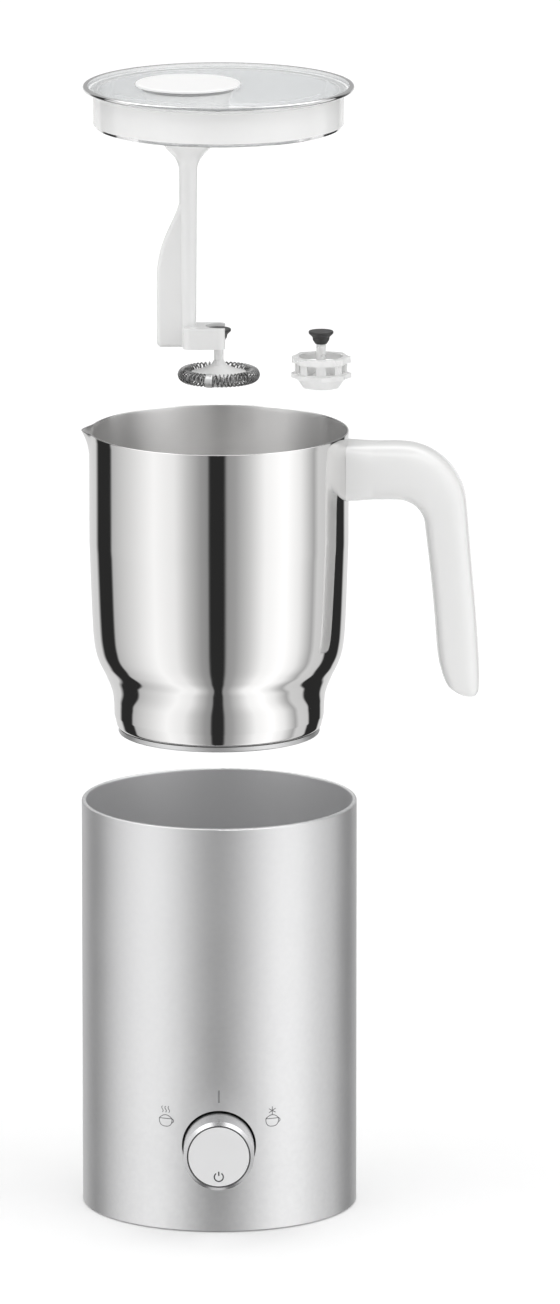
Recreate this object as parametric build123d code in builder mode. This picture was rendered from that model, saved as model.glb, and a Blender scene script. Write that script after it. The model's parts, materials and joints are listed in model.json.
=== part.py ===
from build123d import *
import os
from math import cos, radians, sin, sqrt

# Milk frother: a base with a well, a steel jug, a lid with a whisk arm, a coil whisk and a spare whisk.
# Millimetres. The origin is on the table under the middle of the base, +Z up. The dial is at -Y, the
# jug's handle at +X and its pouring lip at -X. The jug, the lid and the spare whisk are drawn lifted
# apart. Each lift below is how far that piece travels down to its seat.

os.makedirs("parts", exist_ok=True)

# --- base: shell and well
base_d = 120.0  # outside of the shell
base_h = 180.0  # table to the shell's rim
shell_wall = 2.0
shell_rim_round = 0.7
foot_h = 0.7  # the shell stands this far above the table
well_depth = 100.0  # rim down to the well's floor
well_floor_t = 2.0
well_wall_t = 2.0
well_wall_h = 26.0  # the lower, lined part of the well
well_ledge_w = 2.0  # ring that centres the jug
well_ledge_h = 2.5

# --- base: bottom cover, foot ring and fasteners
cover_t = 2.5
cover_lip_h = 5.0
foot_ring_r = 52.0  # middle of the foot ring
foot_ring_w = 4.0
foot_groove = 0.8
post_r = 4.0
post_circle_r = 46.0
post_angles = (60.0, 180.0, 300.0)
screw_r = 1.5
screw_head_r = 2.8
screw_head_h = 1.2
screw_grip = 10.0  # length inside a post
vent_count = 12
vent_l = 13.0
vent_w = 3.0
vent_circle_r = 26.0

# --- motor and its rotor
motor_r = 14.0
motor_drop = 45.0  # bottom of the can under the well's underside
motor_h = 27.0
motor_wall = 1.2
end_cap_t = 4.0
shaft_r = 1.5
bush_r = 4.0
bush_flange_r = 5.5
bush_h = 4.5
field_magnet_t = 3.0
field_magnet_arc = 130.0
armature_r = 8.2
armature_h = 16.0
bracket_t = 2.0
bracket_r = 20.0
bracket_arm_w = 9.0
standoff_circle_r = 43.0
standoff_angles = (0.0, 120.0, 240.0)
grommet_r = 5.0
grommet_neck_r = 3.4
grommet_lip_t = 1.0
motor_screw_r = 1.0
motor_screw_head_r = 2.0
motor_screw_pitch = 18.0
carrier_r = 12.0
carrier_h = 6.5
magnet_r = 3.0
magnet_h = 5.0
magnet_circle_r = 7.6
magnet_count = 4
carrier_gap = 1.5  # carrier's top to the underside of the well's floor

# --- induction coil
coil_turns = 10
coil_wire_r = 1.02
coil_pitch = 2.0
coil_first_r = 17.0
former_bore_r = 14.0
former_t = 1.5
former_lip_w = 1.1
former_h = 4.3
ferrite_l = 18.0
ferrite_w = 5.0
ferrite_h = 3.0
ferrite_count = 6
ferrite_r = 26.0
sensor_r = 2.2
sensor_at_r = 41.2
sensor_l = 8.0

# --- boards
board_t = 1.6
board_l = 80.0
board_w = 52.0
board_y = 8.0
board_z = 12.0
board_pin_x = 35.0
board_pin_y = 20.0
board_pin_r = 1.2
board_post_r = 3.0

# --- dial and push button
dial_z = 38.5
dial_r = 15.3
dial_gap = 0.8  # dial to the hole in the shell
dial_out = 17.5  # dial's front beyond the shell
dial_bevel = 1.5
dial_wall = 1.7
dial_back = 52.0  # dial's rear edge, from the base's axis
button_gap = 0.2
button_travel = 1.5
button_t = 3.0
stem_r = 3.0
stem_gap = 0.3
sleeve_wall = 1.7
encoder_r = 10.0
encoder_h = 6.0
encoder_y = 42.6
sleeve_end = 60.0
housing_gap = 1.3  # dial to the housing's inside
housing_wall = 1.9
control_board_w = 34.0
spring_wire_r = 0.3

# --- jug
jug_lift = 130.0
jug_seat_gap = 0.2
jug_h = 133.7
jug_r = 56.3
jug_wall = 0.7
jug_foot_r = 43.8
jug_foot_h = 2.2
# How much narrower than at its rim the jug is, and at what height above its foot.
jug_waist = ((10.7, 8), (10.4, 14.5), (9.5, 19.5), (6.9, 26), (4.0, 32), (2.2, 39), (1.2, 52), (0, 85))
spout_out = 3.6
spout_h = 12.0
spout_w = 14.0

# --- jug's handle
bracket_plate_t = 1.4
bracket_plate_w = 24.0
bracket_plate_h = 23.0
handle_mid_h = 115.9  # height of the handle's arm above the jug's foot
handle_t = 24.5  # arm of the handle, top to underside
handle_w = 25.0
handle_round = 8.5
grip_t = 18.0
grip_x = 97.1  # where the grip's middle line meets the arm's
grip_lean = 7.4  # how far it leans outwards on the way down
grip_root = 3.0  # the middle line starts this far inside the jug's wall
grip_bend_r = 17.0
grip_low_bend_r = 12.0
grip_low_h = 28.0  # where the grip starts to narrow, above the jug's foot
grip_tip = (109.0, 15.8)
grip_tip_slim = 0.8
grip_tip_l = 20.0  # length that narrows to the tip
grip_tip_round = 3.5
grip_steps = 24
tongue_w = 13.0
tongue_t = 5.0
tongue_l = 20.0
fit_gap = 0.1

# --- lid
lid_lift = 149.6
lid_seat_gap = 0.2
lid_r = 58.65
lid_t = 1.8
lid_ring_r = 54.1
lid_ring_wall = 2.0
lid_ring_h = 14.8
lid_foot_h = 1.5
lid_foot_r = 53.0
lid_skirt_t = 1.2
seal_h = 1.6
seal_gap = 0.3  # seal to the jug's inner wall
cap_r = 22.7
cap_t = 1.0

# --- whisk arm
arm_x = -13.2
arm_top_r = 20.0
arm_neck_r = 9.5
arm_neck_drop = 25.8
arm_rod_r = 3.9
arm_rod_drop = 35.5
arm_rod_end_r = 3.4
fin_t = 4.0
fin_out = 13.6  # fin's edge beyond the rod's axis
clip_reach = 2.8  # clip's mouth beyond the whisk's axis
clip_back = 2.1
clip_half_w = 8.0
clip_round = 3.0
clip_h = 9.2
clip_over = 1.2  # clip's top above the whisk's head
clip_gap = 0.4

# --- whisks
whisk_floor_gap = 1.5  # whisk above the jug's floor
whisk_h = 24.4
head_r = 5.3
head_h = 5.5
head_edge = 1.0
head_cone_h = 1.6
collar_r = 3.5
whisk_stem_r = 2.05
pin_r = 1.45
run_gap = 0.05  # radial clearance of every turning fit
end_gap = 0.2
coil_ring_r = 14.95
coil_tube_r = 2.9
coil_ring_z = 4.1
whisk_magnet_r = 2.4
whisk_magnet_h = 3.0
whisk_magnet_circle_r = 5.4

# --- spare whisk
spare_x = 44.0
spare_y = -80.0
spare_lift = 378.3
spare_floor_gap = 0.2
wheel_r = 12.7
wheel_lobes = 8
wheel_lobe_depth = 1.1
wheel_foot_r = 7.7

# --- sizes that follow
shell_r = base_d / 2
shell_in_r = shell_r - shell_wall
liner_r = shell_in_r - fit_gap
well_z = base_h - well_depth
floor_under_z = well_z - well_floor_t
motor_z = floor_under_z - motor_drop
cover_top_z = foot_h + cover_t
dial_hole_r = dial_r + dial_gap
dial_front = shell_r + dial_out
dial_bore_r = dial_r - dial_wall
housing_r = dial_r + housing_gap + housing_wall
button_r = dial_bore_r - button_gap
jug_z = well_z + jug_seat_gap + jug_lift
jug_floor_z = jug_z + jug_foot_h + jug_wall
jug_in_r = jug_r - jug_wall
jug_rim_z = jug_z + jug_h
lid_z = jug_rim_z + lid_seat_gap + lid_lift
whisk_z = jug_floor_z + whisk_floor_gap + lid_lift
spare_z = spare_floor_gap + spare_lift
motor_top_z = motor_z + motor_h
carrier_z = floor_under_z - carrier_gap - carrier_h
dial_plane = Plane(origin=(0, 0, dial_z), x_dir=(1, 0, 0), z_dir=(0, -1, 0))


def polar(radius, angle):
    """Point on a circle about the base's axis."""
    return radius * cos(radians(angle)), radius * sin(radians(angle))


def ring_sketch(outer, inner):
    """Flat ring, drawn into the sketch that is open."""
    Circle(outer)
    Circle(inner, mode=Mode.SUBTRACT)


# ---------------------------------------------------------------- base: shell, well and bottom
with BuildPart() as outer_shell:
    with BuildSketch(Plane.XY.offset(foot_h)):
        ring_sketch(shell_r, shell_in_r)
    extrude(amount=base_h - foot_h)
    fillet(outer_shell.edges().filter_by(GeomType.CIRCLE).group_by(Axis.Z)[-1], shell_rim_round)
    with BuildSketch(dial_plane):
        Circle(dial_hole_r)
    extrude(amount=base_d, mode=Mode.SUBTRACT)
    gland_z = 16.0
    gland_neck_r = 5.0
    with BuildSketch(Plane(origin=(0, 0, gland_z), x_dir=(1, 0, 0), z_dir=(0, 1, 0))):
        Circle(gland_neck_r + fit_gap)
    extrude(amount=base_d, mode=Mode.SUBTRACT)

posts = [polar(post_circle_r, a) for a in post_angles]
standoffs = [polar(standoff_circle_r, a) for a in standoff_angles]
bracket_z = motor_top_z
standoff_end_z = bracket_z + bracket_t + grommet_lip_t
jug_foot_clear = 2.2
with BuildPart() as well_cup:
    with BuildSketch(Plane.XY.offset(floor_under_z)):
        Circle(liner_r)
    extrude(amount=well_floor_t + well_wall_h)
    with BuildSketch(Plane.XY.offset(well_z)):
        Circle(liner_r - well_wall_t)
    extrude(amount=well_wall_h, mode=Mode.SUBTRACT)
    chamfer(well_cup.edges().filter_by(GeomType.CIRCLE).group_by(Axis.Z)[-1].sort_by(SortBy.LENGTH)[0], 1.2)
    with BuildSketch(Plane.XY.offset(well_z)):
        ring_sketch(jug_foot_r + jug_foot_clear + well_ledge_w, jug_foot_r + jug_foot_clear)
    extrude(amount=well_ledge_h)
    with BuildSketch(Plane.XY.offset(cover_top_z)):
        with Locations(*posts):
            Circle(post_r)
    extrude(amount=floor_under_z - cover_top_z)
    with BuildSketch(Plane.XY.offset(standoff_end_z)):
        with Locations(*standoffs):
            Circle(post_r)
    extrude(amount=floor_under_z - standoff_end_z)
    with BuildSketch(Plane.XY.offset(cover_top_z)):
        with Locations(*posts):
            Circle(screw_r + run_gap)
    extrude(amount=screw_grip + 2, mode=Mode.SUBTRACT)
    with BuildSketch(Plane.XY.offset(standoff_end_z)):
        with Locations(*standoffs):
            Circle(screw_r + run_gap)
    extrude(amount=screw_grip + 2, mode=Mode.SUBTRACT)
    with BuildSketch(Plane.XY.offset(floor_under_z)):
        with Locations((0, sensor_at_r)):
            Circle(sensor_r + fit_gap)
    extrude(amount=well_floor_t, mode=Mode.SUBTRACT)

board_pins = [(x, board_y + y) for x in (-board_pin_x, board_pin_x) for y in (-board_pin_y, board_pin_y)]
rest_x = 13.0  # blocks under the control board
rest_w = 5.0
control_board_low = dial_z - control_board_w / 2
with BuildPart() as bottom_cover:
    with BuildSketch(Plane.XY.offset(foot_h)):
        Circle(liner_r)
    extrude(amount=cover_t)
    with BuildSketch(Plane.XY.offset(cover_top_z)):
        ring_sketch(liner_r, liner_r - well_wall_t)
    extrude(amount=cover_lip_h)
    with BuildSketch(Plane.XY.offset(cover_top_z)):
        with Locations(*board_pins):
            Circle(board_post_r)
    extrude(amount=board_z - cover_top_z)
    with BuildSketch(Plane.XY.offset(board_z)):
        with Locations(*board_pins):
            Circle(board_pin_r)
    extrude(amount=board_t + 1)
    with BuildSketch(Plane.XY.offset(cover_top_z)):
        with Locations((-rest_x, -encoder_y + board_t / 2), (rest_x, -encoder_y + board_t / 2)):
            Rectangle(rest_w, rest_w)
    extrude(amount=control_board_low - cover_top_z)
    with BuildSketch(Plane.XY.offset(foot_h)):
        ring_sketch(foot_ring_r + foot_ring_w / 2, foot_ring_r - foot_ring_w / 2)
    extrude(amount=foot_groove, mode=Mode.SUBTRACT)
    with BuildSketch(Plane.XY.offset(foot_h)):
        with Locations(*posts):
            Circle(screw_r + 0.2)
        with PolarLocations(vent_circle_r, vent_count):
            SlotOverall(vent_l, vent_w)
    extrude(amount=cover_t, mode=Mode.SUBTRACT)
    with BuildSketch(Plane.XY.offset(foot_h)):
        with Locations(*posts):
            Circle(screw_head_r + 0.2)
    extrude(amount=screw_head_h + 0.1, mode=Mode.SUBTRACT)

with BuildPart() as foot_ring:
    with BuildSketch():
        ring_sketch(foot_ring_r + foot_ring_w / 2 - fit_gap, foot_ring_r - foot_ring_w / 2 + fit_gap)
    extrude(amount=foot_h + foot_groove)
    fillet(foot_ring.edges().group_by(Axis.Z)[0], 0.4)


def screws(places, head_z, up, shank_r, head_r, head_h, length):
    """Pan-head screws, each with a cross recess. head_z is where the head meets what it clamps."""
    side = 1 if up else -1
    with BuildPart() as made:
        with BuildSketch(Plane.XY.offset(head_z)):
            with Locations(*places):
                Circle(head_r)
        extrude(amount=-side * head_h)
        with BuildSketch(Plane.XY.offset(head_z)):
            with Locations(*places):
                Circle(shank_r)
        extrude(amount=side * length)
        with BuildSketch(Plane.XY.offset(head_z - side * head_h)):
            with Locations(*places):
                Rectangle(head_r * 1.2, head_r * 0.3)
                Rectangle(head_r * 0.3, head_r * 1.2)
        extrude(amount=side * head_h / 2, mode=Mode.SUBTRACT)
    return made


cover_head_z = foot_h + screw_head_h + 0.1
cover_screws = screws(
    posts, cover_head_z, True, screw_r, screw_head_r, screw_head_h, cover_top_z - cover_head_z + screw_grip
)

# ---------------------------------------------------------------- base: motor
with BuildPart() as motor_can:
    with BuildSketch(Plane.XY.offset(motor_z)):
        Circle(motor_r)
    extrude(amount=motor_h)
    fillet(motor_can.edges().group_by(Axis.Z)[-1], 1)
    with BuildSketch(Plane.XY.offset(motor_z)):
        Circle(motor_r - motor_wall)
    extrude(amount=motor_h - motor_wall, mode=Mode.SUBTRACT)
    with BuildSketch(Plane.XY.offset(motor_z)):
        Circle(bush_r)
        with GridLocations(motor_screw_pitch, 1, 2, 1):
            Circle(motor_screw_r + run_gap)
    extrude(amount=motor_h, mode=Mode.SUBTRACT)

with BuildPart() as motor_end_cap:
    with BuildSketch(Plane.XY.offset(motor_z - end_cap_t)):
        Circle(motor_r)
    extrude(amount=end_cap_t)
    fillet(motor_end_cap.edges().group_by(Axis.Z)[0], 1)
    with BuildSketch(Plane.XY.offset(motor_z)):
        Circle(motor_r - motor_wall - fit_gap)
    extrude(amount=2)
    with BuildSketch(Plane.XY.offset(motor_z + 2)):
        Circle(shaft_r + run_gap)
    extrude(amount=-end_cap_t, mode=Mode.SUBTRACT)
    with BuildSketch(Plane.XY.offset(motor_z - end_cap_t)):
        with GridLocations(14, 1, 2, 1):
            Rectangle(3, 0.8)
    extrude(amount=-4)

with BuildPart() as motor_bush:
    with BuildSketch(Plane.XY.offset(motor_top_z - bush_h + 1)):
        Circle(bush_r - run_gap)
    extrude(amount=bush_h)
    with BuildSketch(Plane.XY.offset(motor_top_z)):
        Circle(bush_flange_r)
    extrude(amount=1)
    with BuildSketch(Plane.XY.offset(motor_top_z - bush_h)):
        Circle(shaft_r + run_gap)
    extrude(amount=2 * bush_h, mode=Mode.SUBTRACT)

with BuildPart() as field_magnets:
    outer_arc_r = motor_r - motor_wall - fit_gap
    with BuildSketch(Plane.XY.offset(motor_z + 4)):
        ring_sketch(outer_arc_r, outer_arc_r - field_magnet_t)
        gap_w = 2 * outer_arc_r * sin(radians(90 - field_magnet_arc / 2))
        Rectangle(gap_w, 4 * motor_r, mode=Mode.SUBTRACT)
    extrude(amount=motor_h - 9)

with BuildPart() as armature:
    armature_z = motor_z + 6
    with BuildSketch(Plane.XY.offset(armature_z)):
        Circle(armature_r)
        Circle(shaft_r + fit_gap / 5, mode=Mode.SUBTRACT)
        with PolarLocations(armature_r - 1, 3):
            Rectangle(4, 1.6, mode=Mode.SUBTRACT)
    extrude(amount=armature_h)

with BuildPart() as drive_shaft:
    shaft_low_z = motor_z - end_cap_t + 3
    with BuildSketch(Plane.XY.offset(shaft_low_z)):
        Circle(shaft_r)
    extrude(amount=carrier_z + carrier_h - shaft_low_z - 0.5)
    chamfer(drive_shaft.edges().filter_by(GeomType.CIRCLE), 0.3)

with BuildPart() as magnet_carrier:
    with BuildSketch(Plane.XY.offset(carrier_z)):
        Circle(carrier_r)
    extrude(amount=carrier_h)
    fillet(magnet_carrier.edges().filter_by(GeomType.CIRCLE), 0.8)
    with BuildSketch(Plane.XY.offset(carrier_z)):
        Circle(4)
    extrude(amount=-3)
    with BuildSketch(Plane.XY.offset(carrier_z - 3)):
        Circle(shaft_r + fit_gap / 5)
    extrude(amount=2 * carrier_h, mode=Mode.SUBTRACT)
    with BuildSketch(Plane.XY.offset(carrier_z + carrier_h)):
        with PolarLocations(magnet_circle_r, magnet_count):
            Circle(magnet_r + run_gap)
    extrude(amount=-magnet_h, mode=Mode.SUBTRACT)

with BuildPart() as drive_magnets:
    with BuildSketch(Plane.XY.offset(carrier_z + carrier_h - magnet_h)):
        with PolarLocations(magnet_circle_r, magnet_count):
            Circle(magnet_r)
    extrude(amount=magnet_h)

with BuildPart() as motor_bracket:
    with BuildSketch(Plane.XY.offset(bracket_z)):
        Circle(bracket_r)
        with PolarLocations(standoff_circle_r / 2, len(standoffs)):
            Rectangle(standoff_circle_r, bracket_arm_w)
        with PolarLocations(standoff_circle_r, len(standoffs)):
            Circle(bracket_arm_w / 2 + 1)
            Circle(grommet_neck_r + fit_gap, mode=Mode.SUBTRACT)
        Circle(bush_flange_r + fit_gap, mode=Mode.SUBTRACT)
        with GridLocations(motor_screw_pitch, 1, 2, 1):
            Circle(motor_screw_r + fit_gap, mode=Mode.SUBTRACT)
    extrude(amount=bracket_t)

with BuildPart() as grommets:
    with BuildSketch(Plane.XY.offset(bracket_z - grommet_lip_t)):
        with Locations(*standoffs):
            Circle(grommet_r)
    extrude(amount=grommet_lip_t)
    with BuildSketch(Plane.XY.offset(bracket_z)):
        with Locations(*standoffs):
            Circle(grommet_neck_r)
    extrude(amount=bracket_t)
    with BuildSketch(Plane.XY.offset(bracket_z + bracket_t)):
        with Locations(*standoffs):
            Circle(grommet_r)
    extrude(amount=grommet_lip_t)
    with BuildSketch(Plane.XY.offset(bracket_z - grommet_lip_t)):
        with Locations(*standoffs):
            Circle(screw_r + run_gap)
    extrude(amount=bracket_t + 2 * grommet_lip_t, mode=Mode.SUBTRACT)

bracket_screws = screws(
    standoffs,
    bracket_z - grommet_lip_t,
    True,
    screw_r,
    screw_head_r + 0.8,
    screw_head_h + 0.8,
    standoff_end_z - bracket_z + grommet_lip_t + screw_grip,
)
motor_screw_places = [(-motor_screw_pitch / 2, 0), (motor_screw_pitch / 2, 0)]
motor_screws = screws(
    motor_screw_places,
    bracket_z + bracket_t,
    False,
    motor_screw_r,
    motor_screw_head_r,
    screw_head_h,
    bracket_t + motor_wall,
)

# ---------------------------------------------------------------- base: induction coil
former_z = floor_under_z - former_h
former_r = coil_first_r + coil_turns * coil_pitch + former_lip_w
with BuildPart() as coil_former:
    with BuildSketch(Plane.XY.offset(former_z)):
        ring_sketch(former_r, former_bore_r)
    extrude(amount=former_t)
    with BuildSketch(Plane.XY.offset(former_z + former_t)):
        ring_sketch(former_r, former_r - former_lip_w)
        ring_sketch(former_bore_r + former_lip_w, former_bore_r)
    extrude(amount=former_h - former_t)

with BuildPart() as induction_coil:
    coil_mid_z = former_z + former_t + coil_wire_r
    with BuildSketch(Plane.XZ) as coil_section:
        with Locations(*[(coil_first_r + n * coil_pitch, coil_mid_z) for n in range(coil_turns)]):
            Circle(coil_wire_r)
    revolve(axis=Axis.Z)

with BuildPart() as ferrite_bars:
    with BuildSketch(Plane.XY.offset(former_z - ferrite_h)):
        with PolarLocations(ferrite_r, ferrite_count, start_angle=30):
            Rectangle(ferrite_l, ferrite_w)
    extrude(amount=ferrite_h)
    chamfer(ferrite_bars.edges().filter_by(Axis.Z), 0.5)

with BuildPart() as temperature_sensor:
    with BuildSketch(Plane.XY.offset(well_z - fit_gap)):
        with Locations((0, sensor_at_r)):
            Circle(sensor_r)
    extrude(amount=-sensor_l)
    with BuildSketch(Plane.XY.offset(floor_under_z)):
        with Locations((0, sensor_at_r)):
            Circle(sensor_r + 0.9)
    extrude(amount=-1.2)

# ---------------------------------------------------------------- base: power board and what is on it
board_top_z = board_z + board_t
with BuildPart() as power_board:
    with BuildSketch(Plane.XY.offset(board_z)):
        with Locations((0, board_y)):
            RectangleRounded(board_l, board_w, 2)
        with Locations(*board_pins):
            Circle(board_pin_r + fit_gap, mode=Mode.SUBTRACT)
    extrude(amount=board_t)


def stand_on_board(x, y, length, width, height):
    """Upright block with rounded corners on the power board."""
    with BuildPart() as made:
        with BuildSketch(Plane.XY.offset(board_top_z)):
            with Locations((x, y)):
                RectangleRounded(length, width, 0.6)
        extrude(amount=height)
    return made


sink_x, sink_y, sink_l, sink_w, sink_h = -20.0, 23.5, 26.0, 13.0, 24.0
fin_count = 6
with BuildPart() as heatsink:
    with BuildSketch(Plane.XY.offset(board_top_z)):
        with Locations((sink_x, sink_y)):
            Rectangle(sink_l, sink_w)
        with Locations((sink_x, sink_y + 2)):
            with GridLocations(sink_l / fin_count, 1, fin_count - 1, 1):
                Rectangle(sink_l / fin_count / 2, sink_w - 3, mode=Mode.SUBTRACT)
    extrude(amount=sink_h)

transistor_t = 4.0
power_transistor = stand_on_board(sink_x, sink_y - sink_w / 2 - transistor_t / 2, 10, transistor_t, 16)
supply_transformer = stand_on_board(-25.5, -4.5, 15, 13, 14)
terminal_block = stand_on_board(0.5, 28.5, 13, 8, 10)

cap_places = [(16.5, 25.5), (33.5, 17.0)]
cap_can_r = 5.0
with BuildPart() as capacitors:
    with BuildSketch(Plane.XY.offset(board_top_z)):
        with Locations(*cap_places):
            Circle(cap_can_r)
    extrude(amount=18)
    fillet(capacitors.edges().group_by(Axis.Z)[-1], 0.7)

choke_x, choke_y, choke_r, choke_tube_r = 27.0, -4.0, 7.0, 3.0
with BuildPart() as filter_choke:
    with BuildSketch(Plane.XZ.offset(-choke_y)):
        with Locations((choke_x + choke_r, board_top_z + choke_tube_r)):
            RectangleRounded(2 * choke_tube_r, 2 * choke_tube_r, 1.8)
    revolve(axis=Axis((choke_x, choke_y, 0), (0, 0, 1)))

lead_r = 1.0
with BuildPart() as coil_leads:
    with BuildSketch(Plane.XY.offset(board_top_z)):
        with Locations(polar(former_r - 1.2, 43), polar(former_r - 1.2, 50)):
            Circle(lead_r)
    extrude(amount=former_z - board_top_z)

# ---------------------------------------------------------------- base: controls behind the dial
with BuildPart() as control_board:
    with BuildSketch(dial_plane.offset(encoder_y - board_t)):
        RectangleRounded(control_board_w, control_board_w, 2)
    extrude(amount=board_t)

switch_w = 6.0
switch_h = 3.4
with BuildPart() as tact_switch:
    with BuildSketch(dial_plane.offset(encoder_y)):
        Rectangle(switch_w, switch_w)
    extrude(amount=switch_h)
    with BuildSketch(dial_plane.offset(encoder_y + switch_h)):
        Circle(stem_r / 2)
    extrude(amount=0.4)

encoder_bore_r = stem_r + stem_gap
sleeve_r = encoder_bore_r + sleeve_wall
with BuildPart() as rotary_encoder:
    with BuildSketch(dial_plane.offset(encoder_y)):
        Circle(encoder_r)
    extrude(amount=encoder_h)
    with BuildSketch(dial_plane.offset(encoder_y + encoder_h)):
        Circle(sleeve_r)
    extrude(amount=sleeve_end - encoder_y - encoder_h)
    with BuildSketch(dial_plane.offset(encoder_y)):
        Circle(switch_w * sqrt(0.5) + 0.4)
    extrude(amount=encoder_h, mode=Mode.SUBTRACT)
    with BuildSketch(dial_plane.offset(encoder_y)):
        Circle(encoder_bore_r)
    extrude(amount=sleeve_end, mode=Mode.SUBTRACT)

housing_front = sqrt(shell_in_r**2 - housing_r**2) - fit_gap
housing_back = encoder_y + 1.4
with BuildPart() as dial_housing:
    with BuildSketch(dial_plane.offset(housing_back)):
        Circle(housing_r)
    extrude(amount=housing_front - housing_back)
    with BuildSketch(dial_plane.offset(housing_back + 1.5)):
        Circle(housing_r - housing_wall)
    extrude(amount=housing_front, mode=Mode.SUBTRACT)
    with BuildSketch(dial_plane.offset(housing_back)):
        Circle(encoder_r + fit_gap)
    extrude(amount=2, mode=Mode.SUBTRACT)
    with BuildSketch(dial_plane.offset(encoder_y)):
        with GridLocations(22, 22, 2, 2):
            Circle(1.8)
    extrude(amount=housing_back - encoder_y)

with BuildPart() as cord_gland:
    gland_lip_r = 6.0
    gland_bore_r = 3.4
    gland_back = sqrt(shell_in_r**2 - gland_lip_r**2) - fit_gap
    with BuildSketch(Plane.XZ) as gland_section:
        with BuildLine():
            Polyline(
                (gland_bore_r, 0),
                (gland_neck_r, 0),
                (gland_neck_r, shell_r - gland_back + fit_gap),
                (gland_lip_r, shell_r - gland_back + fit_gap),
                (gland_lip_r - 0.4, shell_r - gland_back + 1.6),
                (gland_bore_r, shell_r - gland_back + 1.6),
                close=True,
            )
        make_face()
    revolve(axis=Axis.Z)
cord_gland.part = cord_gland.part.moved(
    Location(Plane(origin=(0, gland_back, gland_z), x_dir=(1, 0, 0), z_dir=(0, 1, 0)))
)

# ---------------------------------------------------------------- dial and push button
hub_front = sleeve_end + 2.0
with BuildPart() as dial_ring:
    with BuildSketch(dial_plane.offset(dial_back)):
        Circle(dial_r)
    extrude(amount=dial_front - dial_back)
    chamfer(dial_ring.edges().group_by(Axis.Y)[0], dial_bevel)
    with BuildSketch(dial_plane.offset(dial_back)):
        Circle(dial_bore_r)
    extrude(amount=dial_front, mode=Mode.SUBTRACT)

with BuildPart() as dial_hub:
    with BuildSketch(dial_plane.offset(dial_back)):
        ring_sketch(sleeve_r + run_gap + 2, sleeve_r + run_gap)
    extrude(amount=hub_front - dial_back)
    with BuildSketch(dial_plane.offset(sleeve_end + 0.3)):
        ring_sketch(dial_bore_r - fit_gap / 5, encoder_bore_r)
    extrude(amount=hub_front - sleeve_end - 0.3)

with BuildPart() as button_cap:
    with BuildSketch(dial_plane.offset(dial_front - button_t)):
        Circle(button_r)
    extrude(amount=button_t)
    fillet(button_cap.edges().group_by(Axis.Y)[0], 0.25)
    with BuildSketch(dial_plane.offset(dial_front - button_t)):
        Circle(button_r - 1)
    extrude(amount=button_t - 1.2, mode=Mode.SUBTRACT)

plunger_end = encoder_y + switch_h + 0.4 + button_travel + 0.1
with BuildPart() as button_plunger:
    with BuildSketch(dial_plane.offset(dial_front - 1.2)):
        Circle(button_r - 1 - fit_gap / 5)
    extrude(amount=-1.8)
    with BuildSketch(dial_plane.offset(dial_front - 3)):
        Circle(stem_r)
    extrude(amount=plunger_end - dial_front + 3)

spring_len = dial_front - 3 - hub_front
spring_turns = 5
with BuildPart() as button_spring:
    spring_r = stem_r + 1.6
    spring_start = hub_front + spring_wire_r + 0.05
    with BuildLine() as spring_line:
        Helix(
            pitch=(spring_len - 2 * spring_wire_r - 0.1) / spring_turns,
            height=spring_len - 2 * spring_wire_r - 0.1,
            radius=spring_r,
            center=(0, -spring_start, dial_z),
            direction=(0, -1, 0),
        )
    with BuildSketch(Plane(origin=spring_line.line @ 0, z_dir=spring_line.line % 0)):
        Circle(spring_wire_r)
    sweep()


# ---------------------------------------------------------------- jug
def jug_section(inset, low_z, top_z):
    """Half of the jug's section, moved inwards by inset, from its floor to its rim."""
    with BuildSketch(Plane.XZ) as section:
        with BuildLine():
            waist = Spline(
                *[(jug_r - narrower - inset, jug_z + h) for narrower, h in jug_waist],
                tangents=((0.15, 1), (0, 1)),
            )
            Polyline(
                waist @ 1,
                (jug_r - inset, top_z),
                (0, top_z),
                (0, low_z),
                (jug_r - jug_waist[0][0] - 1.2 - inset, low_z),
                waist @ 0,
            )
        make_face()
        fillet(section.vertices().group_by(Axis.Y)[0].sort_by(Axis.X)[-1], 2)
    return section.sketch


def spout_section(radius, t, level):
    """Plan of the pouring lip on a wall of the given radius. t runs from 0 at its root to 1 at the rim."""
    half_w = spout_w * (0.3 + 0.7 * t)
    wall_x = -sqrt(radius**2 - half_w**2)
    with BuildSketch(Plane.XY.offset(level)) as section:
        with BuildLine():
            Polyline(
                (-radius - spout_out * t * t, 0),
                (wall_x, half_w),
                (-radius * 0.85, 0),
                (wall_x, -half_w),
                close=True,
            )
        make_face()
    return section.sketch


spout_steps = (0.0, 0.4, 0.75, 1.0)
with BuildPart() as jug_body:
    revolve(jug_section(0, jug_z + jug_foot_h, jug_rim_z), axis=Axis.Z)
    loft([spout_section(jug_r, t, jug_rim_z - spout_h * (1 - t)) for t in spout_steps])
    revolve(jug_section(jug_wall, jug_floor_z, jug_rim_z + 1), axis=Axis.Z, mode=Mode.SUBTRACT)
    loft([spout_section(jug_in_r, t, jug_rim_z - spout_h * (1 - t)) for t in spout_steps], mode=Mode.SUBTRACT)

with BuildPart() as jug_base_disc:
    with BuildSketch(Plane.XY.offset(jug_z)):
        Circle(jug_foot_r)
    extrude(amount=jug_foot_h)
    fillet(jug_base_disc.edges().group_by(Axis.Z)[0], 0.5)

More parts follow.
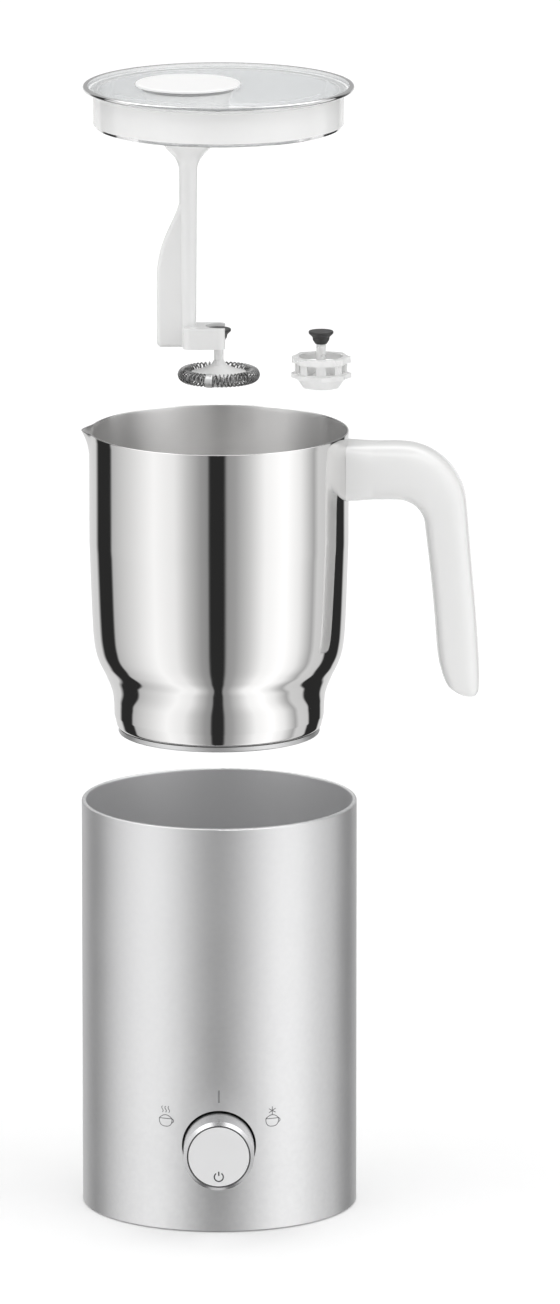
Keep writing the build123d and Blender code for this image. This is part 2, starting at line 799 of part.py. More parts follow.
handle_z = jug_z + handle_mid_h
plate_out_r = jug_r + bracket_plate_t
with BuildPart() as handle_bracket:
    with BuildSketch(Plane.XY.offset(handle_z - bracket_plate_h / 2)):
        ring_sketch(plate_out_r, jug_r + run_gap / 2)
    extrude(amount=bracket_plate_h)
    with BuildSketch(Plane.YZ):
        with Locations((0, handle_z)):
            RectangleRounded(bracket_plate_w, bracket_plate_h, 5)
    extrude(amount=base_d, mode=Mode.INTERSECT)
    with BuildSketch(Plane.YZ.offset(jug_r + bracket_plate_t / 2)):
        with Locations((0, handle_z)):
            Rectangle(tongue_w, tongue_t)
    extrude(amount=tongue_l)


def ease(t):
    """Smooth step from 0 to 1."""
    t = min(max(t, 0.0), 1.0)
    return t * t * (3 - 2 * t)


# The handle's middle line runs level out of the jug, bends down and leans out to its tip.
with BuildLine(Plane.XZ) as grip_line:
    FilletPolyline(
        (jug_r - grip_root, jug_z + handle_mid_h),
        (grip_x, jug_z + handle_mid_h),
        (grip_x + grip_lean, jug_z + grip_low_h),
        (grip_tip[0], jug_z + grip_tip[1]),
        radius=(grip_bend_r, grip_low_bend_r),
    )
grip_wire = grip_line.wires()[0]
bend_start = (grip_x - grip_bend_r - jug_r + grip_root) / grip_wire.length
bend_end = bend_start + 1.5 * grip_bend_r / grip_wire.length
tip_start = 1 - grip_tip_l / grip_wire.length
screw_x = jug_r + bracket_plate_t / 2 + tongue_l * 0.65
with BuildPart() as handle_grip:
    for step in range(grip_steps + 1):
        along = step / grip_steps
        thin = ease((along - bend_start) / (bend_end - bend_start))
        end = sqrt(1 - (max(0.0, (along - tip_start) / (1 - tip_start)) * grip_tip_slim) ** 2)
        thick = (handle_t + (grip_t - handle_t) * thin) * end
        wide = (handle_w - 2 * thin) * (0.3 + 0.7 * end)
        section_plane = Plane(origin=grip_wire @ along, x_dir=(0, 1, 0), z_dir=grip_wire % along)
        with BuildSketch(section_plane):
            RectangleRounded(wide, thick, min(handle_round, thick * 0.46, wide * 0.46))
    loft()
    fillet(handle_grip.faces().sort_by(Axis.Z)[0].edges(), grip_tip_round)
    with BuildSketch(Plane.XY.offset(jug_z)):
        Circle(plate_out_r + fit_gap)
    extrude(amount=jug_h, mode=Mode.SUBTRACT)
    with BuildSketch(Plane.YZ.offset(jug_r)):
        with Locations((0, handle_z)):
            Rectangle(tongue_w + 2 * fit_gap, tongue_t + 2 * fit_gap)
    extrude(amount=bracket_plate_t / 2 + tongue_l + 0.5, mode=Mode.SUBTRACT)
    with BuildSketch(Plane.XY.offset(handle_z)):
        with Locations((screw_x, 0)):
            Circle(screw_r + fit_gap)
    extrude(amount=-handle_t, mode=Mode.SUBTRACT)
    with BuildSketch(Plane.XY.offset(handle_z - 8)):
        with Locations((screw_x, 0)):
            Circle(screw_head_r + fit_gap)
    extrude(amount=-handle_t, mode=Mode.SUBTRACT)

with BuildPart() as handle_screw:
    with BuildSketch(Plane.XY.offset(handle_z - 8)):
        with Locations((screw_x, 0)):
            Circle(screw_head_r)
    extrude(amount=-1.8)
    with BuildSketch(Plane.XY.offset(handle_z - 8)):
        with Locations((screw_x, 0)):
            Circle(screw_r)
    extrude(amount=8 - tongue_t / 2)

with BuildPart() as handle_plug:
    with BuildSketch(Plane.XY.offset(handle_z - handle_t / 2 + 0.2)):
        with Locations((screw_x, 0)):
            Circle(screw_head_r)
    extrude(amount=2)
    fillet(handle_plug.edges().group_by(Axis.Z)[0], 0.4)

# ---------------------------------------------------------------- lid
lid_top_z = lid_z + lid_t
skirt_r = lid_ring_r - lid_ring_wall - fit_gap / 2
boss_r = 8.0
with BuildPart() as lid_cover:
    with BuildSketch(Plane.XY.offset(lid_z)):
        Circle(lid_r)
    extrude(amount=lid_t)
    fillet(lid_cover.edges().filter_by(GeomType.CIRCLE), 0.75)
    with BuildSketch(Plane.XY.offset(lid_z)):
        ring_sketch(skirt_r, skirt_r - lid_skirt_t)
    extrude(amount=-lid_ring_h - lid_foot_h)
    with BuildSketch(Plane.XY.offset(lid_z - lid_ring_h)):
        ring_sketch(lid_foot_r, skirt_r - lid_skirt_t)
    extrude(amount=-lid_foot_h)
    with BuildSketch(Plane.XY.offset(lid_z)):
        with Locations((arm_x, 0)):
            Circle(boss_r + run_gap)
    extrude(amount=lid_t, mode=Mode.SUBTRACT)

with BuildPart() as lid_ring:
    with BuildSketch(Plane.XY.offset(lid_z)):
        ring_sketch(lid_ring_r, lid_ring_r - lid_ring_wall)
    extrude(amount=-lid_ring_h)

with BuildPart() as lid_seal:
    with BuildSketch(Plane.XY.offset(lid_z)):
        ring_sketch(jug_in_r - seal_gap, lid_ring_r)
    extrude(amount=-seal_h)
    fillet(lid_seal.edges().group_by(Axis.Z)[0].sort_by(SortBy.LENGTH)[-1], 0.5)

with BuildPart() as arm_cap:
    with BuildSketch(Plane.XY.offset(lid_top_z)):
        with Locations((arm_x, 0)):
            Circle(cap_r)
    extrude(amount=cap_t)
    fillet(arm_cap.edges().group_by(Axis.Z)[-1], 0.5)

clip_top_z = whisk_z + whisk_h + clip_over
clip_low_z = clip_top_z - clip_h
ledge_z = whisk_z + whisk_h - head_edge - head_cone_h - clip_gap
clip_x = arm_x - clip_back
with BuildPart() as whisk_arm:
    with BuildSketch(Plane.XZ):
        with BuildLine():
            flare = Spline(
                (arm_x + arm_top_r, lid_z),
                (arm_x + arm_neck_r, lid_z - arm_neck_drop),
                (arm_x + arm_rod_r, lid_z - arm_rod_drop),
                tangents=((-0.35, -1), (-0.05, -1)),
            )
            Polyline(
                flare @ 1,
                (arm_x + arm_rod_end_r, clip_low_z),
                (arm_x, clip_low_z),
                (arm_x, lid_z),
                flare @ 0,
            )
        make_face()
    revolve(axis=Axis((arm_x, 0, 0), (0, 0, 1)))
    with BuildSketch(Plane.XY.offset(lid_z)):
        with Locations((arm_x, 0)):
            Circle(boss_r)
    extrude(amount=lid_t)
    with BuildSketch(Plane.XZ) as fin_sketch:
        with BuildLine():
            fin_edge = Spline(
                (arm_x - arm_rod_r, clip_low_z + 63),
                (arm_x - 8.6, clip_low_z + 51.5),
                (arm_x - fin_out, clip_low_z + 30),
                tangents=((-0.25, -1), (0, -1)),
            )
            Polyline(
                fin_edge @ 1,
                (arm_x - fin_out, clip_low_z),
                (arm_x, clip_low_z),
                (arm_x, clip_low_z + 63),
                fin_edge @ 0,
            )
        make_face()
        fillet(fin_sketch.vertices().group_by(Axis.Y)[0].sort_by(Axis.X)[0], 2)
    extrude(amount=fin_t / 2, both=True)
    fin_rim = whisk_arm.edges().filter_by_position(Axis.X, arm_x - 2 * fin_out, arm_x - arm_rod_r - 0.05)
    fillet(fin_rim.filter_by(lambda edge: abs(abs(edge.center().Y) - fin_t / 2) < 0.01), fin_t * 0.4)
    with BuildSketch(Plane.XY.offset(clip_low_z)):
        with Locations(((clip_x + clip_reach) / 2, 0)):
            RectangleRounded(clip_reach - clip_x, 2 * clip_half_w, clip_round)
    extrude(amount=clip_h)
    with BuildSketch(Plane.XY.offset(ledge_z)):
        Circle(head_r + clip_gap)
        with Locations((head_r, 0)):
            Rectangle(2 * head_r, 2 * (head_r + clip_gap))
    extrude(amount=clip_h, mode=Mode.SUBTRACT)
    with BuildSketch(Plane.XY.offset(clip_low_z)):
        Circle(collar_r + clip_gap)
        with Locations((head_r, 0)):
            Rectangle(2 * head_r, 2 * (collar_r + clip_gap))
    extrude(amount=clip_h, mode=Mode.SUBTRACT)


# ---------------------------------------------------------------- whisks
def bearing_head(x, y, low_z):
    """Black head that a whisk hangs and turns in: a flat cap, a cone, a collar and a bore from below."""
    top = low_z + whisk_h
    with BuildPart() as made:
        with BuildSketch(Plane(origin=(x, y, 0), x_dir=(1, 0, 0), z_dir=(0, -1, 0))):
            with BuildLine():
                Polyline(
                    (0, top),
                    (head_r, top),
                    (head_r, top - head_edge),
                    (collar_r + 0.2, top - head_edge - head_cone_h),
                    (collar_r, top - head_h + 1.6),
                    (collar_r - 1, top - head_h),
                    (pin_r + run_gap, top - head_h),
                    (pin_r + run_gap, top - 1),
                    (0, top - 1),
                    close=True,
                )
            make_face()
        revolve(axis=Axis((x, y, 0), (0, 0, 1)))
        fillet(made.edges().filter_by(GeomType.CIRCLE).group_by(Axis.Z)[-1], 0.35)
    return made


def hub_section(x, y, low_z, flange):
    """Half section of a whisk's hub. flange lists radius and height from foot to stem."""
    shoulder = low_z + whisk_h - head_h - end_gap
    with BuildSketch(Plane(origin=(x, y, 0), x_dir=(1, 0, 0), z_dir=(0, -1, 0))) as section:
        with BuildLine():
            Polyline(
                (0, low_z),
                *[(r, low_z + h) for r, h in flange],
                (whisk_stem_r, shoulder),
                (pin_r, shoulder),
                (pin_r, low_z + whisk_h - 1 - end_gap),
                (0, low_z + whisk_h - 1 - end_gap),
                close=True,
            )
        make_face()
    return section.sketch


def magnet_places(x, y):
    """Four magnets on a circle in a whisk's foot."""
    turns = [45 + 90 * n for n in range(magnet_count)]
    return [
        (x + whisk_magnet_circle_r * cos(radians(t)), y + whisk_magnet_circle_r * sin(radians(t)))
        for t in turns
    ]


def hub_magnets(x, y, low_z):
    """Magnets set flush in the foot of a whisk's hub."""
    with BuildPart() as made:
        with BuildSketch(Plane.XY.offset(low_z + 0.3)):
            with Locations(*magnet_places(x, y)):
                Circle(whisk_magnet_r)
        extrude(amount=whisk_magnet_h)
    return made


def pocket_plan(x, y, low_z):
    """Plan of the magnets' pockets in a whisk's foot."""
    with BuildSketch(Plane.XY.offset(low_z)) as plan:
        with Locations(*magnet_places(x, y)):
            Circle(whisk_magnet_r + run_gap)
    return plan.sketch


whisk_head = bearing_head(0, 0, whisk_z)
coil_in_r = coil_ring_r - coil_tube_r
hub_flange = (
    (8.4, 0),
    (9.2, 0.9),
    (coil_in_r - 0.6, 2.2),
    (coil_in_r + 0.4, coil_ring_z - 0.9),
    (coil_in_r + 0.4, coil_ring_z + 0.9),
    (7.5, 6.6),
    (3.4, 8.4),
    (whisk_stem_r, 10.6),
)
with BuildPart() as whisk_hub:
    revolve(hub_section(0, 0, whisk_z, hub_flange), axis=Axis.Z)
    extrude(pocket_plan(0, 0, whisk_z), amount=whisk_magnet_h + 0.3, mode=Mode.SUBTRACT)
    with Locations((0, 0, whisk_z + coil_ring_z)):
        Torus(coil_ring_r, coil_tube_r + 0.02, mode=Mode.SUBTRACT)

with BuildPart() as whisk_coil:
    with Locations((0, 0, whisk_z + coil_ring_z)):
        Torus(coil_ring_r, coil_tube_r)

whisk_magnets = hub_magnets(0, 0, whisk_z)

whisk_spare_head = bearing_head(spare_x, spare_y, spare_z)
wheel_low_h = 6.2
wheel_low_t = 1.8
wheel_high_h = 10.8
wheel_high_t = 2.6
wheel_wall = 1.2


def lobed_ring(radius, bore_r, level):
    """Flat ring with a wavy rim, about the spare whisk's axis."""
    steps = 2 * wheel_lobes
    points = []
    for n in range(steps):
        r = radius - wheel_lobe_depth * (n % 2)
        t = radians(360 * n / steps)
        points.append((spare_x + r * cos(t), spare_y + r * sin(t)))
    with BuildSketch(Plane.XY.offset(level)) as ring:
        with BuildLine():
            Spline(*points, periodic=True)
        make_face()
        with Locations((spare_x, spare_y)):
            Circle(bore_r, mode=Mode.SUBTRACT)
    return ring.sketch


wheel_flange = (
    (wheel_foot_r, 0),
    (wheel_foot_r + 0.5, 0.8),
    (wheel_r - 2.1, wheel_low_h - 1.8),
    (wheel_r - 1.5, wheel_low_h),
    (wheel_r - 2.7, wheel_low_h),
    (wheel_foot_r - 1.1, 4.6),
    (3.4, 5.4),
    (whisk_stem_r, 7.6),
)
wheel_bore_r = wheel_r - 2 - wheel_wall
with BuildPart() as spare_wheel:
    revolve(hub_section(spare_x, spare_y, spare_z, wheel_flange), axis=Axis((spare_x, spare_y, 0), (0, 0, 1)))
    extrude(lobed_ring(wheel_r, wheel_bore_r, spare_z + wheel_low_h - wheel_low_t), amount=wheel_low_t)
    with BuildSketch(Plane.XY.offset(spare_z + wheel_low_h)):
        with Locations((spare_x, spare_y)):
            ring_sketch(wheel_r - 2, wheel_bore_r)
    extrude(amount=wheel_high_h - wheel_low_h)
    extrude(lobed_ring(wheel_r - 0.3, wheel_bore_r, spare_z + wheel_high_h), amount=wheel_high_t)
    with BuildSketch(Plane.XY.offset(spare_z + 5.2)):
        with Locations((spare_x, spare_y)):
            with PolarLocations(wheel_r / 2, wheel_lobes // 2):
                Rectangle(wheel_r - 3, 1.1)
    extrude(amount=wheel_high_h - 5.2)
    with BuildSketch(Plane.XY.offset(spare_z + wheel_low_h + 0.4)):
        with Locations((spare_x, spare_y)):
            with PolarLocations(wheel_r - 2, wheel_lobes, start_angle=22.5):
                Rectangle(4, 4.4)
    extrude(amount=wheel_high_h - wheel_low_h - 0.8, mode=Mode.SUBTRACT)
    extrude(pocket_plan(spare_x, spare_y, spare_z), amount=whisk_magnet_h + 0.3, mode=Mode.SUBTRACT)

spare_magnets = hub_magnets(spare_x, spare_y, spare_z)

# ---------------------------------------------------------------- write every piece
pieces = {
    "outer_shell": outer_shell,
    "well_cup": well_cup,
    "bottom_cover": bottom_cover,
    "foot_ring": foot_ring,
    "cover_screws": cover_screws,
    "motor_can": motor_can,
    "motor_end_cap": motor_end_cap,
    "motor_bush": motor_bush,
    "field_magnets": field_magnets,
    "armature": armature,
    "drive_shaft": drive_shaft,
    "magnet_carrier": magnet_carrier,
    "drive_magnets": drive_magnets,
    "motor_bracket": motor_bracket,
    "bracket_grommets": grommets,
    "bracket_screws": bracket_screws,
    "motor_screws": motor_screws,
    "coil_former": coil_former,
    "induction_coil": induction_coil,
    "ferrite_bars": ferrite_bars,
    "temperature_sensor": temperature_sensor,
    "power_board": power_board,
    "heatsink": heatsink,
    "power_transistor": power_transistor,
    "supply_transformer": supply_transformer,
    "terminal_block": terminal_block,
    "capacitors": capacitors,
    "filter_choke": filter_choke,
    "coil_leads": coil_leads,
    "control_board": control_board,
    "tact_switch": tact_switch,
    "rotary_encoder": rotary_encoder,
    "dial_housing": dial_housing,
    "cord_gland": cord_gland,
    "dial_ring": dial_ring,
    "dial_hub": dial_hub,
    "button_cap": button_cap,
    "button_plunger": button_plunger,
    "button_spring": button_spring,
    "jug_body": jug_body,
    "jug_base_disc": jug_base_disc,
    "handle_bracket": handle_bracket,
    "handle_grip": handle_grip,
    "handle_screw": handle_screw,
    "handle_plug": handle_plug,
    "lid_cover": lid_cover,
    "lid_ring": lid_ring,
    "lid_seal": lid_seal,
    "arm_cap": arm_cap,
    "whisk_arm": whisk_arm,
    "whisk_head": whisk_head,
    "whisk_hub": whisk_hub,
    "whisk_coil": whisk_coil,
    "whisk_magnets": whisk_magnets,
    "spare_head": whisk_spare_head,
    "spare_wheel": spare_wheel,
    "spare_magnets": spare_magnets,
}
for name, piece in pieces.items():
    piece.part.label = name
    export_step(piece.part, f"parts/{name}.step")
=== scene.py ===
"""Looks of the milk frother: finishes, fine detail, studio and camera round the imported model."""

import json
import logging
import math
from dataclasses import dataclass
from enum import Enum

import bpy
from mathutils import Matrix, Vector


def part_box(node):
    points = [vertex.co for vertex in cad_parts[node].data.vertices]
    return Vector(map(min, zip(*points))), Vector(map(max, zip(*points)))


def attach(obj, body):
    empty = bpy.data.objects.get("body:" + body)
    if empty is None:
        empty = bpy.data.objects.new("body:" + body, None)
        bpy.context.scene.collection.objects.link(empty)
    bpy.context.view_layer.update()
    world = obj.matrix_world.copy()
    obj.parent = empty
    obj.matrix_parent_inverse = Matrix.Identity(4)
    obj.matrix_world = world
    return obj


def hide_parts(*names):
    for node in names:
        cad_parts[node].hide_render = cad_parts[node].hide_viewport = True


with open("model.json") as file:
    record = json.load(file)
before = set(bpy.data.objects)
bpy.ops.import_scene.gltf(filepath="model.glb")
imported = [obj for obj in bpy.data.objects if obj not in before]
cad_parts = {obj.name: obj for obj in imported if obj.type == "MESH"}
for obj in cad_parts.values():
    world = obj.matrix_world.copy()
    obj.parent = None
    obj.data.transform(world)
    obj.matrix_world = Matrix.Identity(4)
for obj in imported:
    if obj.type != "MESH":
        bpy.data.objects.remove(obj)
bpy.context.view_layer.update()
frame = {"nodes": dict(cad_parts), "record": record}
log = logging.getLogger("frother")
MM = 0.001
Colour = tuple[float, float, float]
Point = tuple[float, float]


# ------------------------------------------------------------------ shader effects
class Effect(Enum):
    """Shared effects, each a node group that is built once."""

    GRAIN = "fine_grain"
    SMUDGE = "soft_smudges"
    TINT = "tint_shift"
    WEAR = "edge_wear"
    LINES = "turned_lines"
    DUST = "settled_dust"


class EffectLibrary:
    """Builds the shared node groups on first use and hands them out."""

    def __init__(self) -> None:
        """Starts with no group built."""
        self.made: dict[Effect, bpy.types.ShaderNodeTree] = {}

    def get(self, effect: Effect) -> bpy.types.ShaderNodeTree:
        """Gives the node group of an effect.

        Args:
            effect: The effect wanted.

        Returns:
            Its node group, built the first time it is asked for.
        """
        if effect not in self.made:
            self.made[effect] = getattr(self, f"_{effect.value}")(effect.value)
        return self.made[effect]

    @staticmethod
    def _start(name: str, inputs: dict[str, object], outputs: dict[str, str]) -> tuple:
        """Makes an empty group with its sockets.

        Args:
            name: Name of the group.
            inputs: Default value of each input. Three numbers make a colour.
            outputs: Socket type of each output.

        Returns:
            The tree, its input node, its output node and the point's place on the object.
        """
        tree = bpy.data.node_groups.new(name, "ShaderNodeTree")
        for label, value in inputs.items():
            colour = isinstance(value, tuple)
            kind = "NodeSocketColor" if colour else "NodeSocketFloat"
            socket = tree.interface.new_socket(label, in_out="INPUT", socket_type=kind)
            socket.default_value = (*value, 1.0) if colour else value
        for label, kind in outputs.items():
            tree.interface.new_socket(label, in_out="OUTPUT", socket_type=kind)
        given = tree.nodes.new("NodeGroupInput")
        result = tree.nodes.new("NodeGroupOutput")
        place = tree.nodes.new("ShaderNodeTexCoord")
        return tree, given, result, place.outputs["Object"]

    @staticmethod
    def _noise(tree: bpy.types.ShaderNodeTree, where: object, scale: object, detail: float) -> object:
        """Adds a noise texture.

        Args:
            tree: Tree to add it to.
            where: Socket of the place it is read at.
            scale: Socket or number for its scale.
            detail: How many octaves it has.

        Returns:
            The socket of its value.
        """
        noise = tree.nodes.new("ShaderNodeTexNoise")
        noise.inputs["Detail"].default_value = detail
        tree.links.new(where, noise.inputs["Vector"])
        if isinstance(scale, float):
            noise.inputs["Scale"].default_value = scale
        else:
            tree.links.new(scale, noise.inputs["Scale"])
        return noise.outputs["Fac"]

    @staticmethod
    def _spread(tree: bpy.types.ShaderNodeTree, value: object, low: object, high: object) -> object:
        """Maps a noise value from its usual spread on to a range.

        Args:
            tree: Tree to add the node to.
            value: Socket of the value.
            low: Number or socket for the range's low end.
            high: Number or socket for the range's high end.

        Returns:
            The socket of the mapped value.
        """
        node = tree.nodes.new("ShaderNodeMapRange")
        node.inputs["From Min"].default_value = 0.3
        node.inputs["From Max"].default_value = 0.7
        tree.links.new(value, node.inputs["Value"])
        for name, end in (("To Min", low), ("To Max", high)):
            if isinstance(end, float):
                node.inputs[name].default_value = end
            else:
                tree.links.new(end, node.inputs[name])
        return node.outputs["Result"]

    @staticmethod
    def _math(tree: bpy.types.ShaderNodeTree, how: str, a: object, b: object = 0.0) -> object:
        """Adds a math node.

        Args:
            tree: Tree to add it to.
            how: The node's operation.
            a: First socket or number.
            b: Second socket or number.

        Returns:
            The socket of the result.
        """
        node = tree.nodes.new("ShaderNodeMath")
        node.operation = how
        for index, value in enumerate((a, b)):
            if isinstance(value, float):
                node.inputs[index].default_value = value
            else:
                tree.links.new(value, node.inputs[index])
        return node.outputs[0]

    @staticmethod
    def _mix(tree: bpy.types.ShaderNodeTree, share: object, a: object, b: object) -> object:
        """Adds a colour mix of two sockets and gives the result's socket."""
        node = tree.nodes.new("ShaderNodeMix")
        node.data_type = "RGBA"
        tree.links.new(share, node.inputs[0])
        tree.links.new(a, node.inputs[6])
        tree.links.new(b, node.inputs[7])
        return node.outputs[2]

    def _fine_grain(self, name: str) -> bpy.types.ShaderNodeTree:
        """Fine even grain, as on blasted metal or moulded plastic."""
        tree, given, result, place = self._start(name, {"Scale": 2500.0}, {"Height": "NodeSocketFloat"})
        fine = self._noise(tree, place, given.outputs["Scale"], 3.0)
        tree.links.new(fine, result.inputs["Height"])
        return tree

    def _soft_smudges(self, name: str) -> bpy.types.ShaderNodeTree:
        """Roughness that drifts over the surface, as where it has been touched and wiped."""
        sizes = {"Scale": 30.0, "Low": 0.3, "High": 0.4}
        tree, given, result, place = self._start(name, sizes, {"Roughness": "NodeSocketFloat"})
        cloud = self._noise(tree, place, given.outputs["Scale"], 5.0)
        rough = self._spread(tree, cloud, given.outputs["Low"], given.outputs["High"])
        tree.links.new(rough, result.inputs["Roughness"])
        return tree

    def _tint_shift(self, name: str) -> bpy.types.ShaderNodeTree:
        """Colour that drifts between two near shades."""
        sizes = {"Scale": 25.0, "Base": (0.5, 0.5, 0.5), "Shade": (0.4, 0.4, 0.4)}
        tree, given, result, place = self._start(name, sizes, {"Colour": "NodeSocketColor"})
        cloud = self._noise(tree, place, given.outputs["Scale"], 4.0)
        share = self._spread(tree, cloud, 0.0, 1.0)
        mixed = self._mix(tree, share, given.outputs["Base"], given.outputs["Shade"])
        tree.links.new(mixed, result.inputs["Colour"])
        return tree

    def _edge_wear(self, name: str) -> bpy.types.ShaderNodeTree:
        """Edges rubbed to another shade, broken up by noise."""
        sizes = {"Amount": 0.5, "Base": (0.5, 0.5, 0.5), "Worn": (0.8, 0.8, 0.8)}
        tree, given, result, place = self._start(name, sizes, {"Colour": "NodeSocketColor"})
        shape = tree.nodes.new("ShaderNodeNewGeometry")
        sharp = tree.nodes.new("ShaderNodeMapRange")
        sharp.inputs["From Min"].default_value = 0.52
        sharp.inputs["From Max"].default_value = 0.62
        tree.links.new(shape.outputs["Pointiness"], sharp.inputs["Value"])
        broken = self._spread(tree, self._noise(tree, place, 400.0, 4.0), 0.2, 1.0)
        share = self._math(tree, "MULTIPLY", sharp.outputs["Result"], broken)
        share = self._math(tree, "MULTIPLY", share, given.outputs["Amount"])
        mixed = self._mix(tree, share, given.outputs["Base"], given.outputs["Worn"])
        tree.links.new(mixed, result.inputs["Colour"])
        return tree

    def _turned_lines(self, name: str) -> bpy.types.ShaderNodeTree:
        """Fine lines that run round the vertical axis, as left by a polishing wheel."""
        tree, given, result, place = self._start(name, {"Pitch": 9000.0}, {"Height": "NodeSocketFloat"})
        parts = tree.nodes.new("ShaderNodeSeparateXYZ")
        tree.links.new(place, parts.inputs[0])
        across = self._math(tree, "MULTIPLY", parts.outputs["X"], parts.outputs["X"])
        along = self._math(tree, "MULTIPLY", parts.outputs["Y"], parts.outputs["Y"])
        radius = self._math(tree, "SQRT", self._math(tree, "ADD", across, along))
        turn = self._math(tree, "ARCTAN2", parts.outputs["Y"], parts.outputs["X"])
        join = tree.nodes.new("ShaderNodeCombineXYZ")
        tree.links.new(self._math(tree, "MULTIPLY", radius, given.outputs["Pitch"]), join.inputs[0])
        tree.links.new(self._math(tree, "MULTIPLY", turn, 1.5), join.inputs[1])
        tree.links.new(self._math(tree, "MULTIPLY", parts.outputs["Z"], given.outputs["Pitch"]), join.inputs[2])
        lines = self._noise(tree, join.outputs[0], 1.0, 2.0)
        tree.links.new(lines, result.inputs["Height"])
        return tree

    def _settled_dust(self, name: str) -> bpy.types.ShaderNodeTree:
        """A little pale dust on faces that look up."""
        sizes = {"Amount": 0.1, "Base": (0.5, 0.5, 0.5)}
        tree, given, result, place = self._start(name, sizes, {"Colour": "NodeSocketColor"})
        shape = tree.nodes.new("ShaderNodeNewGeometry")
        parts = tree.nodes.new("ShaderNodeSeparateXYZ")
        tree.links.new(shape.outputs["Normal"], parts.inputs[0])
        cloud = self._spread(tree, self._noise(tree, place, 180.0, 6.0), 0.0, 1.0)
        up = self._math(tree, "MAXIMUM", parts.outputs["Z"], 0.0)
        share = self._math(tree, "MULTIPLY", self._math(tree, "MULTIPLY", up, cloud), given.outputs["Amount"])
        pale = tree.nodes.new("ShaderNodeRGB")
        pale.outputs[0].default_value = (0.75, 0.74, 0.72, 1.0)
        mixed = self._mix(tree, share, given.outputs["Base"], pale.outputs[0])
        tree.links.new(mixed, result.inputs["Colour"])
        return tree


EFFECTS = EffectLibrary()


@dataclass(frozen=True)
class Finish:
    """A surface finish: two near shades, a drift of roughness, grain or turned lines, and wear."""

    name: str
    colour: Colour
    shade: Colour
    metallic: float = 0.0
    rough: Point = (0.35, 0.45)
    drift: float = 25.0
    grain_scale: float = 2500.0
    grain_depth: float = 0.1
    lines: float = 0.0
    worn: Colour = (0.8, 0.8, 0.8)
    wear: float = 0.2
    dust: float = 0.03
    coat: float = 0.0
    clear: float = 0.0
    soft: float = 0.0
    ior: float = 1.46
    brushed: float = 0.0
    # Colour that the finish turns towards where it is seen at a low angle: painted shade for the dark look of
    # thick clear plastic there; None for none.
    edge: Colour | None = None

    def material(self) -> bpy.types.Material:
        """Makes the material, or finds it if it is made already.

        Returns:
            The material of this finish.
        """
        if self.name in bpy.data.materials:
            return bpy.data.materials[self.name]
        made = bpy.data.materials.new(self.name)
        made.use_nodes = True
        tree = made.node_tree
        shader = tree.nodes["Principled BSDF"]
        shader.inputs["Metallic"].default_value = self.metallic
        shader.inputs["Coat Weight"].default_value = self.coat
        shader.inputs["Coat Roughness"].default_value = 0.08
        shader.inputs["Transmission Weight"].default_value = self.clear
        shader.inputs["IOR"].default_value = self.ior
        shader.inputs["Subsurface Weight"].default_value = self.soft
        shader.inputs["Subsurface Radius"].default_value = (0.004, 0.004, 0.004)
        colours = {"Scale": self.drift, "Base": self.colour, "Shade": self.shade}
        tint = self._place(tree, Effect.TINT, colours)
        wear = self._place(tree, Effect.WEAR, {"Amount": self.wear, "Worn": self.worn})
        dust = self._place(tree, Effect.DUST, {"Amount": self.dust})
        tree.links.new(tint.outputs["Colour"], wear.inputs["Base"])
        tree.links.new(wear.outputs["Colour"], dust.inputs["Base"])
        tree.links.new(dust.outputs["Colour"], shader.inputs["Base Color"])
        # Painted shade at grazing angles, for finishes that have an edge colour.
        if self.edge:
            self._paint_grazing_shade(tree, dust.outputs["Colour"], shader)
        if self.brushed:
            shader.inputs["Anisotropic"].default_value = self.brushed
            shader.inputs["Anisotropic Rotation"].default_value = 0.25
            way = tree.nodes.new("ShaderNodeTangent")
            way.direction_type = "RADIAL"
            way.axis = "Z"
            tree.links.new(way.outputs["Tangent"], shader.inputs["Tangent"])
        smudge = self._place(tree, Effect.SMUDGE, {"Low": self.rough[0], "High": self.rough[1]})
        tree.links.new(smudge.outputs["Roughness"], shader.inputs["Roughness"])
        relief = Effect.LINES if self.lines else Effect.GRAIN
        sizes = {"Pitch": self.lines} if self.lines else {"Scale": self.grain_scale}
        height = self._place(tree, relief, sizes)
        bump = tree.nodes.new("ShaderNodeBump")
        bump.inputs["Strength"].default_value = self.grain_depth
        bump.inputs["Distance"].default_value = 0.0001
        tree.links.new(height.outputs["Height"], bump.inputs["Height"])
        tree.links.new(bump.outputs["Normal"], shader.inputs["Normal"])
        return made

    def _paint_grazing_shade(self, tree: bpy.types.ShaderNodeTree, colour: object, shader: bpy.types.Node) -> None:
        """Paints shade into the colour where the surface is seen at a low angle: the colour turns towards the
        edge colour, standing in for the darkening that thick clear plastic shows there.

        Args:
            tree: The material's tree.
            colour: Socket of the colour seen square on.
            shader: The material's shader node.
        """
        glance = tree.nodes.new("ShaderNodeLayerWeight")
        glance.inputs["Blend"].default_value = 0.5
        mix = tree.nodes.new("ShaderNodeMix")
        mix.data_type = "RGBA"
        mix.inputs[7].default_value = (*self.edge, 1.0)
        tree.links.new(glance.outputs["Facing"], mix.inputs[0])
        tree.links.new(colour, mix.inputs[6])
        tree.links.new(mix.outputs[2], shader.inputs["Base Color"])

    @staticmethod
    def _place(tree: bpy.types.ShaderNodeTree, effect: Effect, values: dict[str, object]) -> bpy.types.Node:
        """Places an effect's group in a material.

        Args:
            tree: The material's tree.
            effect: The effect to place.
            values: The group's input values.

        Returns:
            The group node.
        """
        node = tree.nodes.new("ShaderNodeGroup")
        node.node_tree = EFFECTS.get(effect)
        for label, value in values.items():
            colour = isinstance(value, tuple)
            node.inputs[label].default_value = (*value, 1.0) if colour else value
        return node


